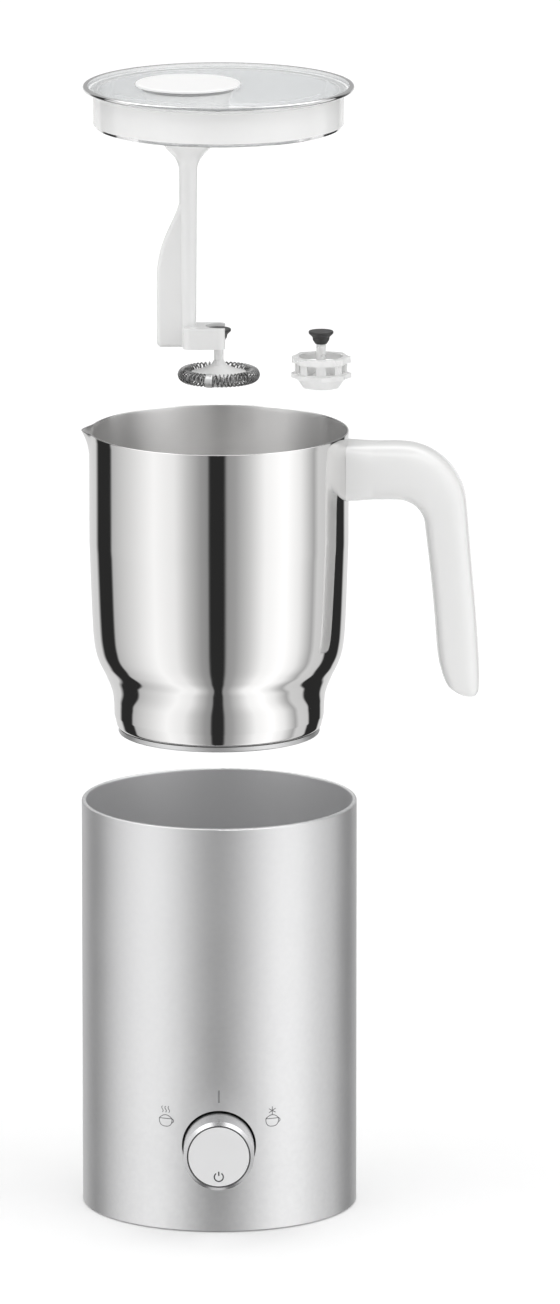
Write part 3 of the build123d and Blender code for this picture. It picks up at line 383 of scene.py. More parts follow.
SATIN_ALUMINIUM = Finish("satin_aluminium", (0.77, 0.77, 0.775), (0.75, 0.75, 0.755), 0.9, (0.42, 0.45),
                         drift=9.0, grain_scale=3500.0, grain_depth=0.05, worn=(0.9, 0.9, 0.9), wear=0.35)
# A brighter copy of the satin aluminium for the shell's inner wall: painted light that lifts the shadowed well.
LIT_INNER_ALUMINIUM = Finish("inner_aluminium_painted_light", (0.92, 0.92, 0.925), (0.90, 0.90, 0.905), 0.8, (0.36, 0.40),
                         drift=9.0, grain_scale=3500.0, grain_depth=0.05, wear=0.0, dust=0.0)
DIAL_ALUMINIUM = Finish("dial_aluminium", (0.70, 0.70, 0.71), (0.67, 0.67, 0.68), 1.0, (0.20, 0.24),
                        grain_scale=4000.0, grain_depth=0.04, worn=(0.95, 0.95, 0.95), wear=0.4)
# The button's satin face, set near white and half diffuse: painted light, since its face otherwise mirrors the
# dark studio in front of it.
LIT_BUTTON_ALUMINIUM = Finish("button_aluminium_painted_light", (0.97, 0.97, 0.975), (0.95, 0.95, 0.955), 0.5, (0.50, 0.54),
                          grain_scale=4000.0, grain_depth=0.05, worn=(0.95, 0.95, 0.95), wear=0.3)
MIRROR_STEEL = Finish("mirror_steel", (0.76, 0.755, 0.75), (0.735, 0.73, 0.725), 1.0, (0.03, 0.07),
                      drift=12.0, grain_scale=60.0, grain_depth=0.03, wear=0.0, dust=0.0)
# Brushed steel for the jug's inside: the turned lines and stretched highlights are its real finish, while its
# colour, well over steel's own, is painted light that lifts the shadowed inside.
BRUSHED_LIT_STEEL = Finish("brushed_steel_painted_light", (0.97, 0.965, 0.96), (0.88, 0.875, 0.87), 1.0, (0.27, 0.33),
                       grain_depth=0.15, lines=2600.0, wear=0.0, dust=0.0, brushed=0.92)
# Steel darkened well below steel's own colour: painted shade for the coil's dark reflections and the shaded
# gaps between its turns.
SHADED_COIL_STEEL = Finish("coil_steel_painted_shade", (0.30, 0.30, 0.30), (0.24, 0.24, 0.24), 1.0, (0.10, 0.16),
                    drift=200.0, grain_scale=4000.0, grain_depth=0.06, wear=0.2)
SATIN_STEEL = Finish("satin_steel", (0.64, 0.64, 0.64), (0.56, 0.56, 0.56), 1.0, (0.26, 0.36),
                     grain_scale=4000.0, grain_depth=0.12, wear=0.3)
ZINC_STEEL = Finish("zinc_steel", (0.55, 0.56, 0.58), (0.47, 0.48, 0.51), 1.0, (0.28, 0.42),
                    drift=140.0, grain_depth=0.1, wear=0.3)
WHITE_GLOSS = Finish("white_gloss", (0.83, 0.83, 0.827), (0.82, 0.82, 0.815), 0.0, (0.14, 0.20),
                     grain_scale=900.0, grain_depth=0.02, worn=(0.93, 0.93, 0.92), wear=0.1, coat=0.3,
                     soft=0.05)
WHITE_CAP = Finish("white_cap", (0.97, 0.97, 0.967), (0.96, 0.96, 0.957), 0.0, (0.3, 0.36),
                   grain_scale=900.0, grain_depth=0.02, worn=(0.97, 0.97, 0.97), wear=0.1, dust=0.0, soft=0.05)
# Clear plastic of the lid plate; its edge colour is painted shade, turning the colour darker where the plate is
# seen at a low angle.
CLEAR_PLASTIC = Finish("clear_plastic", (0.64, 0.65, 0.65), (0.61, 0.62, 0.62), 0.0, (0.03, 0.07),
                       grain_scale=500.0, grain_depth=0.02, wear=0.0, dust=0.0, clear=1.0, ior=1.49,
                       edge=(0.26, 0.265, 0.27))
# A darker copy of the clear plastic for the lid's rim and step: painted shade for how dark the thick plastic
# looks there, with darker painted shade at grazing angles.
SHADED_RIM_PLASTIC = Finish("clear_rim_painted_shade", (0.55, 0.56, 0.56), (0.5, 0.51, 0.51), 0.0, (0.03, 0.07),
                     grain_scale=500.0, grain_depth=0.02, wear=0.0, dust=0.0, clear=1.0, ior=1.49,
                     edge=(0.2, 0.205, 0.21))
MILKY_PLASTIC = Finish("milky_plastic", (0.95, 0.95, 0.945), (0.93, 0.93, 0.925), 0.0, (0.22, 0.30),
                       grain_scale=1500.0, grain_depth=0.04, wear=0.05, dust=0.0, clear=0.22, soft=0.3, ior=1.4)
BLACK_PLASTIC = Finish("black_plastic", (0.006, 0.006, 0.007), (0.009, 0.009, 0.010), 0.0, (0.18, 0.24),
                       grain_scale=2600.0, grain_depth=0.08, worn=(0.03, 0.03, 0.03), wear=0.3, dust=0.0,
                       ior=1.33)
GREY_PLASTIC = Finish("grey_plastic", (0.30, 0.30, 0.31), (0.26, 0.26, 0.27), 0.0, (0.35, 0.48),
                      grain_scale=2200.0, grain_depth=0.2, worn=(0.42, 0.42, 0.43), wear=0.3)
LINER_METAL = Finish("liner_metal", (0.72, 0.72, 0.73), (0.68, 0.68, 0.69), 0.75, (0.40, 0.48),
                     grain_scale=4000.0, grain_depth=0.06, worn=(0.8, 0.8, 0.8), wear=0.3)
RUBBER = Finish("black_rubber", (0.02, 0.02, 0.02), (0.03, 0.03, 0.029), 0.0, (0.65, 0.8),
                grain_scale=1400.0, grain_depth=0.3, worn=(0.08, 0.08, 0.08), wear=0.5, dust=0.15)
COPPER = Finish("enamelled_copper", (0.62, 0.25, 0.11), (0.48, 0.17, 0.07), 1.0, (0.18, 0.3),
                drift=300.0, grain_scale=1600.0, grain_depth=0.3, wear=0.1)
MAGNET = Finish("nickel_magnet", (0.58, 0.56, 0.53), (0.5, 0.48, 0.46), 1.0, (0.15, 0.25), drift=90.0)
FERRITE = Finish("ferrite", (0.035, 0.035, 0.04), (0.055, 0.055, 0.06), 0.0, (0.5, 0.7),
                 grain_scale=1800.0, grain_depth=0.4, worn=(0.15, 0.15, 0.15), wear=0.6)
BOARD = Finish("solder_mask", (0.01, 0.10, 0.035), (0.014, 0.13, 0.05), 0.0, (0.25, 0.35),
               drift=220.0, grain_scale=1200.0, grain_depth=0.15, coat=0.3)
BRONZE = Finish("sintered_bronze", (0.5, 0.3, 0.12), (0.42, 0.24, 0.1), 1.0, (0.4, 0.55),
                grain_scale=1500.0, grain_depth=0.4)
MOULDING = Finish("component_moulding", (0.03, 0.03, 0.034), (0.045, 0.045, 0.05), 0.0, (0.4, 0.55),
                  grain_scale=1700.0, grain_depth=0.25, worn=(0.12, 0.12, 0.12), wear=0.4)
PRINT_GREY = Finish("printed_grey", (0.09, 0.09, 0.095), (0.11, 0.11, 0.115), 0.0, (0.4, 0.5),
                    grain_scale=3000.0, grain_depth=0.1, wear=0.0, dust=0.0)
SOFT_GREY = Finish("soft_grey", (0.20, 0.20, 0.205), (0.23, 0.23, 0.235), 0.0, (0.4, 0.5),
                   grain_scale=3000.0, grain_depth=0.1, wear=0.0, dust=0.0)
# Dark ink for the power symbol, also used for the painted shade ring round the button.
DARK_PRINT_AND_SHADE = Finish("dark_print_and_shade", (0.035, 0.035, 0.037), (0.045, 0.045, 0.047), 0.0, (0.4, 0.5),
                    grain_scale=3000.0, grain_depth=0.1, wear=0.0, dust=0.0)
BY_SLOT: dict[str, Finish] = {
    "shell_metal": SATIN_ALUMINIUM, "dial_metal": DIAL_ALUMINIUM, "button_metal": LIT_BUTTON_ALUMINIUM,
    "jug_steel": MIRROR_STEEL, "satin_steel": SATIN_STEEL, "hardware_steel": ZINC_STEEL,
    "white_plastic": WHITE_GLOSS, "clear_plastic": CLEAR_PLASTIC, "frosted_plastic": MILKY_PLASTIC,
    "black_plastic": BLACK_PLASTIC, "grey_plastic": GREY_PLASTIC, "black_rubber": RUBBER,
    "copper": COPPER, "magnet": MAGNET, "ferrite": FERRITE, "board": BOARD, "bronze": BRONZE,
    "component_black": MOULDING,
}


# ------------------------------------------------------------------ mesh helpers
def smooth(mesh: bpy.types.Mesh, angle: float = 30.0) -> None:
    """Shades a mesh smooth, with edges sharper than angle degrees kept crisp."""
    mesh.polygons.foreach_set("use_smooth", [True] * len(mesh.polygons))
    mesh.set_sharp_from_angle(angle=math.radians(angle))


def add_piece(name: str, points: list, faces: list, body: str, slot: str,
              *finishes: Finish) -> bpy.types.Object:
    """Makes a mesh piece that rides on a body.

    Args:
        name: Name of the piece.
        points: Its vertices, in metres in the row frame.
        faces: Its faces as vertex indices.
        body: The body that it rides on.
        slot: The record's material slot; not used.
        *finishes: Its materials in order.

    Returns:
        The new object.
    """
    mesh = bpy.data.meshes.new(name)
    mesh.from_pydata([tuple(p) for p in points], [], faces)
    mesh.validate()
    smooth(mesh)
    for finish in finishes:
        mesh.materials.append(finish.material())
    piece = bpy.data.objects.new(name, mesh)
    bpy.context.scene.collection.objects.link(piece)
    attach(piece, body)
    return piece


def bridge(rings: int, around: int, closed: bool = False) -> list[tuple[int, ...]]:
    """Quads between neighbouring rings of equal size.

    Args:
        rings: How many rings there are.
        around: How many vertices each has.
        closed: Whether the last ring joins the first.

    Returns:
        The faces.
    """
    faces = []
    for row in range(rings if closed else rings - 1):
        here, there = row * around, (row + 1) % rings * around
        for k in range(around):
            after = (k + 1) % around
            faces.append((here + k, here + after, there + after, there + k))
    return faces


def spline(points: list[Point], steps: int) -> list[Point]:
    """Smooth curve through points, with its ends kept.

    Args:
        points: The points that it goes through.
        steps: How many pieces each stretch is cut into.

    Returns:
        The curve's points.
    """
    padded = [points[0], *points, points[-1]]
    curve = []
    for i in range(1, len(padded) - 2):
        a, b, c, d = (Vector(p) for p in padded[i - 1:i + 3])
        for s in range(steps):
            t = s / steps
            near = b * 2 + (c - a) * t + (a * 2 - b * 5 + c * 4 - d) * t * t
            curve.append(tuple((near + (b * 3 - a - c * 3 + d) * t ** 3) / 2))
    curve.append(points[-1])
    return curve


def arc(centre: Point, radius: float, start: float, end: float, steps: int) -> list[Point]:
    """Points along an arc, its angles in degrees."""
    angles = [math.radians(start + (end - start) * k / steps) for k in range(steps + 1)]
    return [(centre[0] + radius * math.cos(a), centre[1] + radius * math.sin(a)) for a in angles]


def tube(path: list[Vector], radius: float, sides: int) -> tuple[list, list]:
    """Mesh of a closed wire.

    Args:
        path: Its middle line, a closed loop.
        radius: The wire's radius.
        sides: How many sides its section has.

    Returns:
        Its vertices and faces.
    """
    points = []
    count = len(path)
    up = Vector((0, 0, 1))
    for i, here in enumerate(path):
        way = (path[(i + 1) % count] - path[i - 1]).normalized()
        side = way.cross(up).normalized()
        rise = side.cross(way)
        for k in range(sides):
            turn = math.tau * k / sides
            points.append(here + (side * math.cos(turn) + rise * math.sin(turn)) * radius)
    return points, bridge(count, sides, closed=True)


def dress(node: str, *finishes: Finish) -> None:
    """Gives a CAD node its materials and crisp smooth shading."""
    mesh = frame["nodes"][node].data
    mesh.materials.clear()
    for finish in finishes:
        mesh.materials.append(finish.material())
    smooth(mesh)


def size(node: str) -> tuple[Vector, Vector]:
    """Lowest and highest corner of a CAD node, as vectors in metres."""
    low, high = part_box(node)
    return Vector(low), Vector(high)


# ------------------------------------------------------------------ printed marks
@dataclass
class Marks:
    """Thin printed strokes, laid a hair above the surface."""

    stroke: float = 0.3 * MM
    proud: float = 0.03 * MM
    step: float = 0.4 * MM

    def ribbon(self, lines: list[list[Point]], place: object) -> tuple[list, list]:
        """Turns strokes into ribbons on a surface.

        Args:
            lines: Strokes as points in metres across the surface.
            place: Function from a point of the stroke's plane to one in space.

        Returns:
            Vertices and faces.
        """
        points, faces = [], []
        for rough_line in lines:
            line = self._even(rough_line)
            first = len(points)
            for i, (u, v) in enumerate(line):
                before = Vector(line[max(i - 1, 0)])
                after = Vector(line[min(i + 1, len(line) - 1)])
                way = (after - before).normalized() * (self.stroke / 2)
                points.append(place(u - way.y, v + way.x))
                points.append(place(u + way.y, v - way.x))
            faces += [(first + 2 * i, first + 2 * i + 1, first + 2 * i + 3, first + 2 * i + 2)
                      for i in range(len(line) - 1)]
        return points, faces

    def _even(self, line: list[Point]) -> list[Point]:
        """Cuts a stroke's long runs into steps no longer than the pen's step.

        Args:
            line: The stroke's points.

        Returns:
            The same stroke with more points.
        """
        dense = [line[0]]
        for start, end in zip(line, line[1:]):
            a, b = Vector(start), Vector(end)
            count = max(1, math.ceil((b - a).length / self.step))
            dense += [tuple(a.lerp(b, k / count)) for k in range(1, count + 1)]
        return dense


@dataclass
class Base(Marks):
    """The stand: shell, liner, bottom and its printed marks."""

    shell_wall: float = 2.0 * MM
    index_w: float = 0.8 * MM
    mark_z: float = 51.5 * MM
    mark_turn: float = 22.7
    index_z: float = 60.9 * MM
    index_h: float = 5.6 * MM

    def build(self) -> None:
        """Dresses the shell, with painted light on its inner wall, and prints its marks."""
        dress("well_cup", LINER_METAL)
        dress("outer_shell", SATIN_ALUMINIUM, LIT_INNER_ALUMINIUM)
        inner = size("outer_shell")[1].x - self.shell_wall / 2
        # Faces inside the wall's middle take the brighter copy: painted light.
        for face in frame["nodes"]["outer_shell"].data.polygons:
            face.material_index = int(math.hypot(face.center.x, face.center.y) < inner)
        self.radius = size("outer_shell")[1].x + self.proud
        turn = self.radius * math.radians(self.mark_turn)
        low = self.index_z - self.index_h / 2
        index = [[(0.0, low + self.index_h * k / 4) for k in range(5)]]
        self._print("index_mark", index, self.index_w, SOFT_GREY)
        self._print("hot_mark", self._cup(-turn) + self._steam(-turn), self.stroke)
        self._print("cold_mark", self._cup(turn) + self._flake(turn), self.stroke)

    def _print(self, name: str, lines: list[list[Point]], stroke: float, ink: Finish = PRINT_GREY) -> None:
        """Prints strokes on the shell under the given name, with the given stroke width and ink."""
        pen = Marks(stroke, self.proud)
        points, faces = pen.ribbon(lines, self._wrap)
        add_piece(name, points, faces, "base", "grey_plastic", ink)

    def _wrap(self, u: float, v: float) -> Vector:
        """Wraps a flat point round the shell."""
        return Vector((self.radius * math.sin(u / self.radius), -self.radius * math.cos(u / self.radius), v))

    def _cup(self, u: float) -> list[list[Point]]:
        """Outline of a small cup with its handle, centred on u."""
        low, wide, high = self.mark_z - 4.9 * MM, 3.0 * MM, self.mark_z - 1.4 * MM
        turns = [math.pi * k / 20 for k in range(21)]
        bowl = [(u + wide * math.copysign(abs(math.cos(a)) ** 0.8, math.cos(a)),
                 high + (low - high) * math.sin(a) ** 0.7) for a in turns]
        foam = [(u + wide * math.cos(a), high + 1.6 * MM * math.sin(a) ** 2) for a in turns]
        top = [(u - wide, high), (u + wide, high)]
        ear = arc((u + wide * 0.95, high - 0.9 * MM), 0.85 * MM, 100, -100, 10)
        return [bowl, foam, top, ear]

    def _steam(self, u: float) -> list[list[Point]]:
        """Three wavy lines over the cup."""
        lines = []
        for shift in (-1.5 * MM, 0.0, 1.5 * MM):
            rise = [self.mark_z + (1.3 + 0.28 * k) * MM for k in range(11)]
            lines.append([(u + shift + 0.35 * MM * math.sin(k * math.tau / 10), v) for k, v in enumerate(rise)])
        return lines

    def _flake(self, u: float) -> list[list[Point]]:
        """A six-pointed flake over the cup."""
        lines = []
        middle = self.mark_z + 2.1 * MM
        for turn in (30, 90, 150):
            way = Vector((math.cos(math.radians(turn)), math.sin(math.radians(turn)))) * 1.8 * MM
            lines.append([(u - way.x, middle - way.y), (u + way.x, middle + way.y)])
        return lines


@dataclass
class Dial(Marks):
    """The dial with its push button."""

    bold: float = 0.55 * MM
    # How far in from the button's rim, and how wide, the dark ring painted round it is: painted shade for the
    # gap between button and dial.
    gap_shade_in: float = 0.05 * MM
    gap_shade_w: float = 0.34 * MM
    symbol_r: float = 1.95 * MM
    symbol_drop: float = 9.0 * MM

    def build(self) -> None:
        """Prints the power symbol low on the button and lays a dark ring round its edge, painted shade for the
        gap between button and dial.
        """
        low, high = size("button_cap")
        front = low.y - self.proud / 2
        centre = ((low.x + high.x) / 2, (low.z + high.z) / 2 - self.symbol_drop)
        loop = arc(centre, self.symbol_r, 125, 415, 24)
        bar = [(centre[0], centre[1] + 0.5 * MM), (centre[0], centre[1] + 2.4 * MM)]
        pen = Marks(self.bold, self.proud)
        points, faces = pen.ribbon([loop, bar], lambda u, v: Vector((u, front, v)))
        add_piece("power_mark", points, faces, "button", "grey_plastic", DARK_PRINT_AND_SHADE)
        # A dark ring round the button's edge: painted shade standing in for the shadowed gap between button and
        # dial.
        middle = ((low.x + high.x) / 2, (low.z + high.z) / 2)
        edge = arc(middle, (high.x - low.x) / 2 - self.gap_shade_in, 0, 360, 120)
        points, faces = Marks(self.gap_shade_w, self.proud).ribbon([edge], lambda u, v: Vector((u, front, v)))
        add_piece("gap_shade_line", points, faces, "button", "grey_plastic", DARK_PRINT_AND_SHADE)


# ------------------------------------------------------------------ jug
@dataclass
class Jug:
    """The jug: polished body with a pouring lip, and a moulded handle."""

    wall: float = 0.7 * MM
    # How far the wall stands in from the body's radius, and the height over the foot, in millimetres.
    waist: tuple[Point, ...] = (
        (-10.7, 8.0), (-10.4, 14.5), (-9.5, 19.5), (-6.9, 26.0),
        (-4.0, 32.0), (-2.2, 39.0), (-1.2, 52.0), (0.0, 85.0),
    )
    spout_out: float = 3.5 * MM
    spout_h: float = 12.0 * MM
    spout_w: float = 14.0 * MM
    around: int = 256
    grip_t: float = 16.5 * MM
    grip_w: float = 25.0 * MM
    # The bend's inner and outer arc: middle's distance from the axis, and radius, in millimetres.
    bend_in: Point = (77.2, 12.2)
    bend_out: Point = (78.6, 29.0)
    bend_step: float = 14.0
    bend_count: int = 7
    root_in: float = 1.5
    root_step: float = 5.0
    root_count: int = 4
    grip_steps: int = 5
    grip_round: int = 56
    # How square the handle's section is at the jug and farther out, and after how many sections.
    square_near: float = 0.25
    square_grip: float = 0.6
    square_run: int = 12
    # The grip is this share of the arm's width below low_h, growing to all of it this far under the arm's top.
    slim: float = 0.94
    low_h: float = 100.0
    top_gap: float = 2.0
    # Underside and top of the arm, in millimetres over the foot.
    arm_low: float = 103.7
    arm_top: float = 128.2
    # Inner and outer point of the grip's lower sections, in millimetres from the axis and over the foot.
    grip_sides: tuple = (
        ((90.6, 82.0), (108.8, 86.0)), ((92.2, 68.0), (110.2, 70.0)), ((93.7, 52.0), (111.7, 53.0)),
        ((95.0, 36.0), (112.8, 36.5)), ((96.6, 28.0), (113.2, 27.0)), ((98.9, 22.0), (113.2, 21.6)),
        ((101.6, 19.4), (112.9, 19.0)), ((105.0, 17.6), (111.9, 17.3)), ((107.8, 16.9), (110.2, 16.7)),
    )

    def build(self) -> None:
        """Builds the body and the handle."""
        self.foot_z = size("jug_base_disc")[0].z
        self.body()
        self.grip()

    def body(self) -> None:
        """Spins the wall's section round the axis and draws the lip out of it."""
        low, high = size("jug_body")
        radius, floor, rim = high.y, low.z, high.z
        outer = [(radius + r * MM, self.foot_z + h * MM) for r, h in self.waist]
        foot = arc((radius - 13.6 * MM, floor + 2 * MM), 2 * MM, -90, 0, 6)
        outside = [(0.0, floor), (radius * 0.5, floor), *foot, *spline(outer, 10)]
        rise = 24
        top = rim - self.wall / 2
        outside += [(radius, outer[-1][1] + (top - outer[-1][1]) * k / rise) for k in range(1, rise + 1)]
        lip = arc((radius - self.wall / 2, top), self.wall / 2, 20, 160, 5)
        inside = [(max(r - self.wall, 0.0), max(z, floor + self.wall)) for r, z in reversed(outside)]
        profile = outside + lip + inside
        points = []
        for r, z in profile:
            for k in range(self.around):
                points.append(self._with_lip(max(r, 1e-6), z, math.tau * k / self.around, rim))
        faces = bridge(len(profile), self.around)
        body = add_piece("jug_wall", points, faces, "jug", "jug_steel", MIRROR_STEEL, BRUSHED_LIT_STEEL)
        # Faces of the inside take the brushed steel, whose raised brightness is painted light.
        first_inside = (len(outside) + len(lip) - 1) * self.around
        for face in body.data.polygons:
            face.material_index = int(face.index >= first_inside)
        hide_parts("jug_body")

    def _with_lip(self, r: float, z: float, turn: float, rim: float) -> Vector:
        """A point of the wall, drawn outwards where the pouring lip is.

        Args:
            r: Its radius before the lip is drawn.
            z: Its height.
            turn: Its angle round the axis.
            rim: Height of the rim.

        Returns:
            The point in the row frame.
        """
        t = min(max(1 - (rim - z) / self.spout_h, 0.0), 1.0)
        half = self.spout_w * (0.35 + 0.65 * t)
        x, y = r * math.cos(turn), r * math.sin(turn)
        if t <= 0 or x > 0 or abs(y) > half:
            return Vector((x, y, z))
        share = 1 - abs(y) / half
        pull = self.spout_out * t * t * share * share * (3 - 2 * share)
        return Vector((x - pull, y, z))

    def grip(self) -> None:
        """Skins the handle through sections that turn with its bend and close at its tip."""
        low, high = size("handle_grip")
        stops = [low.x / MM - self.root_in + k * self.root_step for k in range(self.root_count)]
        pairs = [((x, self.arm_low), (x, self.arm_top)) for x in stops]
        for k in range(self.bend_count):
            a = math.radians(self.bend_step * k)
            pairs.append(tuple((x + r * math.sin(a), height - r + r * math.cos(a)) for (x, r), height in
                               ((self.bend_in, self.arm_low), (self.bend_out, self.arm_top))))
        pairs += [(inner, outer) for inner, outer in self.grip_sides]
        flat = [(*inner, *outer) for inner, outer in pairs]
        rings = self._follow(flat, self.grip_steps)
        self._skin(rings, low, high)

    @staticmethod
    def _follow(stations: list[tuple[float, ...]], steps: int) -> list[tuple[float, ...]]:
        """Runs two smooth curves through the inner and outer points of the stations.

        Args:
            stations: Inner x and z and outer x and z of each station.
            steps: How many sections each stretch is cut into.

        Returns:
            The same four numbers for every section.
        """
        inner = spline([(s[0], s[1]) for s in stations], steps)
        outer = spline([(s[2], s[3]) for s in stations], steps)
        return [(*a, *b) for a, b in zip(inner, outer)]

    def _skin(self, rings: list[tuple[float, ...]], low: Vector, high: Vector) -> None:
        """Makes the handle's mesh.

        Args:
            rings: Inner and outer point of every section, in millimetres from the axis and the foot.
            low: Lowest corner of the CAD handle.
            high: Highest corner of the CAD handle.
        """
        sides = self.grip_round
        points = []
        for index, (ax, az, bx, bz) in enumerate(rings):
            far_on = min(1.0, index / self.square_run)
            square = self.square_near + (self.square_grip - self.square_near) * far_on
            inner = Vector((ax * MM, 0, self.foot_z + az * MM))
            outer = Vector((bx * MM, 0, self.foot_z + bz * MM))
            across = outer - inner
            thick = across.length
            full = min(1.0, thick / (self.grip_t * 0.98))
            half_w = self.grip_w / 2 * (0.12 + 0.88 * math.sqrt(1 - (1 - full) ** 2))
            span = self.arm_top - self.top_gap - self.low_h
            half_w *= self.slim + (1 - self.slim) * min(max((bz - self.low_h) / span, 0.0), 1.0)
            centre = (inner + outer) / 2
            way = across.normalized()
            for k in range(sides):
                a = math.tau * k / sides
                c, s = math.cos(a), math.sin(a)
                u = math.copysign(abs(c) ** square, c) * half_w
                v = math.copysign(abs(s) ** square, s) * thick / 2
                points.append(centre + Vector((0, u, 0)) + way * v)
        faces = bridge(len(rings), sides)
        faces.append(tuple(range(sides))[::-1])
        faces.append(tuple(range((len(rings) - 1) * sides, len(rings) * sides)))
        for p in points:
            p.x = min(p.x, high.x)
            p.z = min(max(p.z, low.z), high.z)
        grip = add_piece("handle_moulding", points, faces, "jug", "white_plastic", WHITE_GLOSS)
        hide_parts("handle_grip")


# ------------------------------------------------------------------ lid
@dataclass
class Lid:
    """The lid's clear cover: a plate with a shallow groove, a rounded rim and a skirt inside its white ring."""

    groove_r: float = 50.3
    groove_w: float = 0.5
    groove_t: float = 0.3
    skirt_r: float = 52.05
    skirt_t: float = 1.2
    step_r: float = 53.0
    step_h: float = 1.4
    plate_t: float = 1.8
    flat_r: float = 30.0
    bevel: float = 0.3
    corner: float = 0.2
    skirt_corner: float = 0.4
    # Where the rim's fine line starts, dips and ends, and the rim's underside starts, in from its edge.
    rim_line: tuple[float, ...] = (2.6, 2.2, 1.8, 2.4)
    rim_dip: float = 0.12
    # Width of the rim band that takes the darker clear plastic, painted shade, in millimetres.
    rim_w: float = 2.3
    arc_end: float = 88.0
    arc_steps: int = 12
    pole_r: float = 1e-4
    around: int = 240

    def build(self) -> None:
        """Spins the cover's section and lays it over its CAD node."""
        dress("arm_cap", WHITE_CAP)
        low, high = size("lid_cover")
        rim = high.x / MM
        plate_z = high.z / MM - self.plate_t
        foot = low.z / MM - plate_z
        half = self.plate_t / 2
        top = self.plate_t
        near, far = self.groove_r - self.groove_w, self.groove_r + self.groove_w
        sunk = top - self.groove_t
        bevel, corner, turn_in = self.bevel, self.corner, self.skirt_corner
        start, dip, end, under = self.rim_line
        skirt, step, ledge = self.skirt_r, self.step_r, foot + self.step_h
        inside = skirt - self.skirt_t
        section = [(0.0, top), (self.flat_r, top)]
        section += [(near - bevel, top), (near, sunk), (far, sunk), (far + bevel, top)]
        section += [(rim - start, top), (rim - dip, top - self.rim_dip), (rim - end, top)]
        section += arc((rim - half, half), half, self.arc_end, -self.arc_end, self.arc_steps)
        section += [(rim - under, 0.0), (skirt + turn_in, 0.0), (skirt, -turn_in)]
        section += [(skirt, ledge), (step - corner, ledge), (step, ledge - corner), (step, foot + corner),
                    (step - corner, foot)]
        section += [(inside + corner, foot), (inside, foot + corner), (inside, -turn_in)]
        section += [(inside - turn_in, 0.0), (0.0, 0.0)]
        points = []
        for r, z in section:
            for k in range(self.around):
                turn = math.tau * k / self.around
                out = max(r, self.pole_r) * MM
                points.append((out * math.cos(turn), out * math.sin(turn), (plate_z + z) * MM))
        faces = bridge(len(section), self.around)
        cover = add_piece("lid_glaze", points, faces, "lid", "clear_plastic", CLEAR_PLASTIC, SHADED_RIM_PLASTIC)
        # The rim band and the step under the white ring take the darker copy: painted shade.
        for face in cover.data.polygons:
            on_rim = math.hypot(face.center.x, face.center.y) > (rim - self.rim_w) * MM
            on_step = face.center.z < (plate_z + ledge + corner) * MM
            face.material_index = int(on_rim or on_step)
        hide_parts("lid_cover")


# ------------------------------------------------------------------ whisk
@dataclass
class Whisk:
    """The coil whisk: a fine wire wound round a ring, tied by a small clamp."""

    turns: int = 52
    steps: int = 22
    wire: float = 0.36 * MM
    sides: int = 8
    clamp_turn: float = 255.0
    clamp_half: float = 6.0
    clamp_deep: float = 0.9 * MM
    clamp_edge: float = 0.1 * MM
    clamp_out: float = 0.12 * MM
    clamp_sides: int = 32

    def build(self) -> None:
        """Winds the wire and adds the clamp that joins its ends."""
        low, high = size("whisk_coil")
        middle = (low + high) / 2
        tube_r = (high.z - low.z) / 2
        ring_r = (high.x - low.x) / 2 - tube_r
        path = []
        count = self.turns * self.steps
        for i in range(count):
            around = math.tau * i / count
            turn = math.tau * i / self.steps
            r = ring_r + (tube_r - self.wire) * math.cos(turn)
            rise = (tube_r - self.wire) * math.sin(turn)
            path.append(middle + Vector((r * math.cos(around), r * math.sin(around), rise)))
        points, faces = tube(path, self.wire, self.sides)
        coil = add_piece("coil_wire", points, faces, "whisk", "hardware_steel", SHADED_COIL_STEEL)
        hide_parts("whisk_coil")
        self.clamp(middle, ring_r, tube_r)

    def clamp(self, middle: Vector, ring_r: float, tube_r: float) -> None:
        """Adds the short sleeve that holds the wire's two ends together.

        Args:
            middle: Centre of the coil.
            ring_r: Radius of the coil's middle circle.
            tube_r: Radius of the coil itself.
        """
        depths = (-self.clamp_deep, -self.clamp_edge, self.clamp_out)
        edge = [(tube_r + depth, share) for depth, share in zip(depths, (1.0, 0.9, 0.7))]
        profile = [(r, -share) for r, share in edge] + edge[::-1]
        around = self.clamp_sides
        points = []
        for r, share in profile:
            bearing = math.radians(self.clamp_turn + share * self.clamp_half)
            for k in range(around):
                turn = math.tau * k / around
                out = ring_r + r * math.cos(turn)
                rise = r * math.sin(turn)
                points.append(middle + Vector((out * math.cos(bearing), out * math.sin(bearing), rise)))
        faces = bridge(len(profile), around, closed=True)
        add_piece("coil_clamp", points, faces, "whisk", "hardware_steel", SATIN_STEEL)


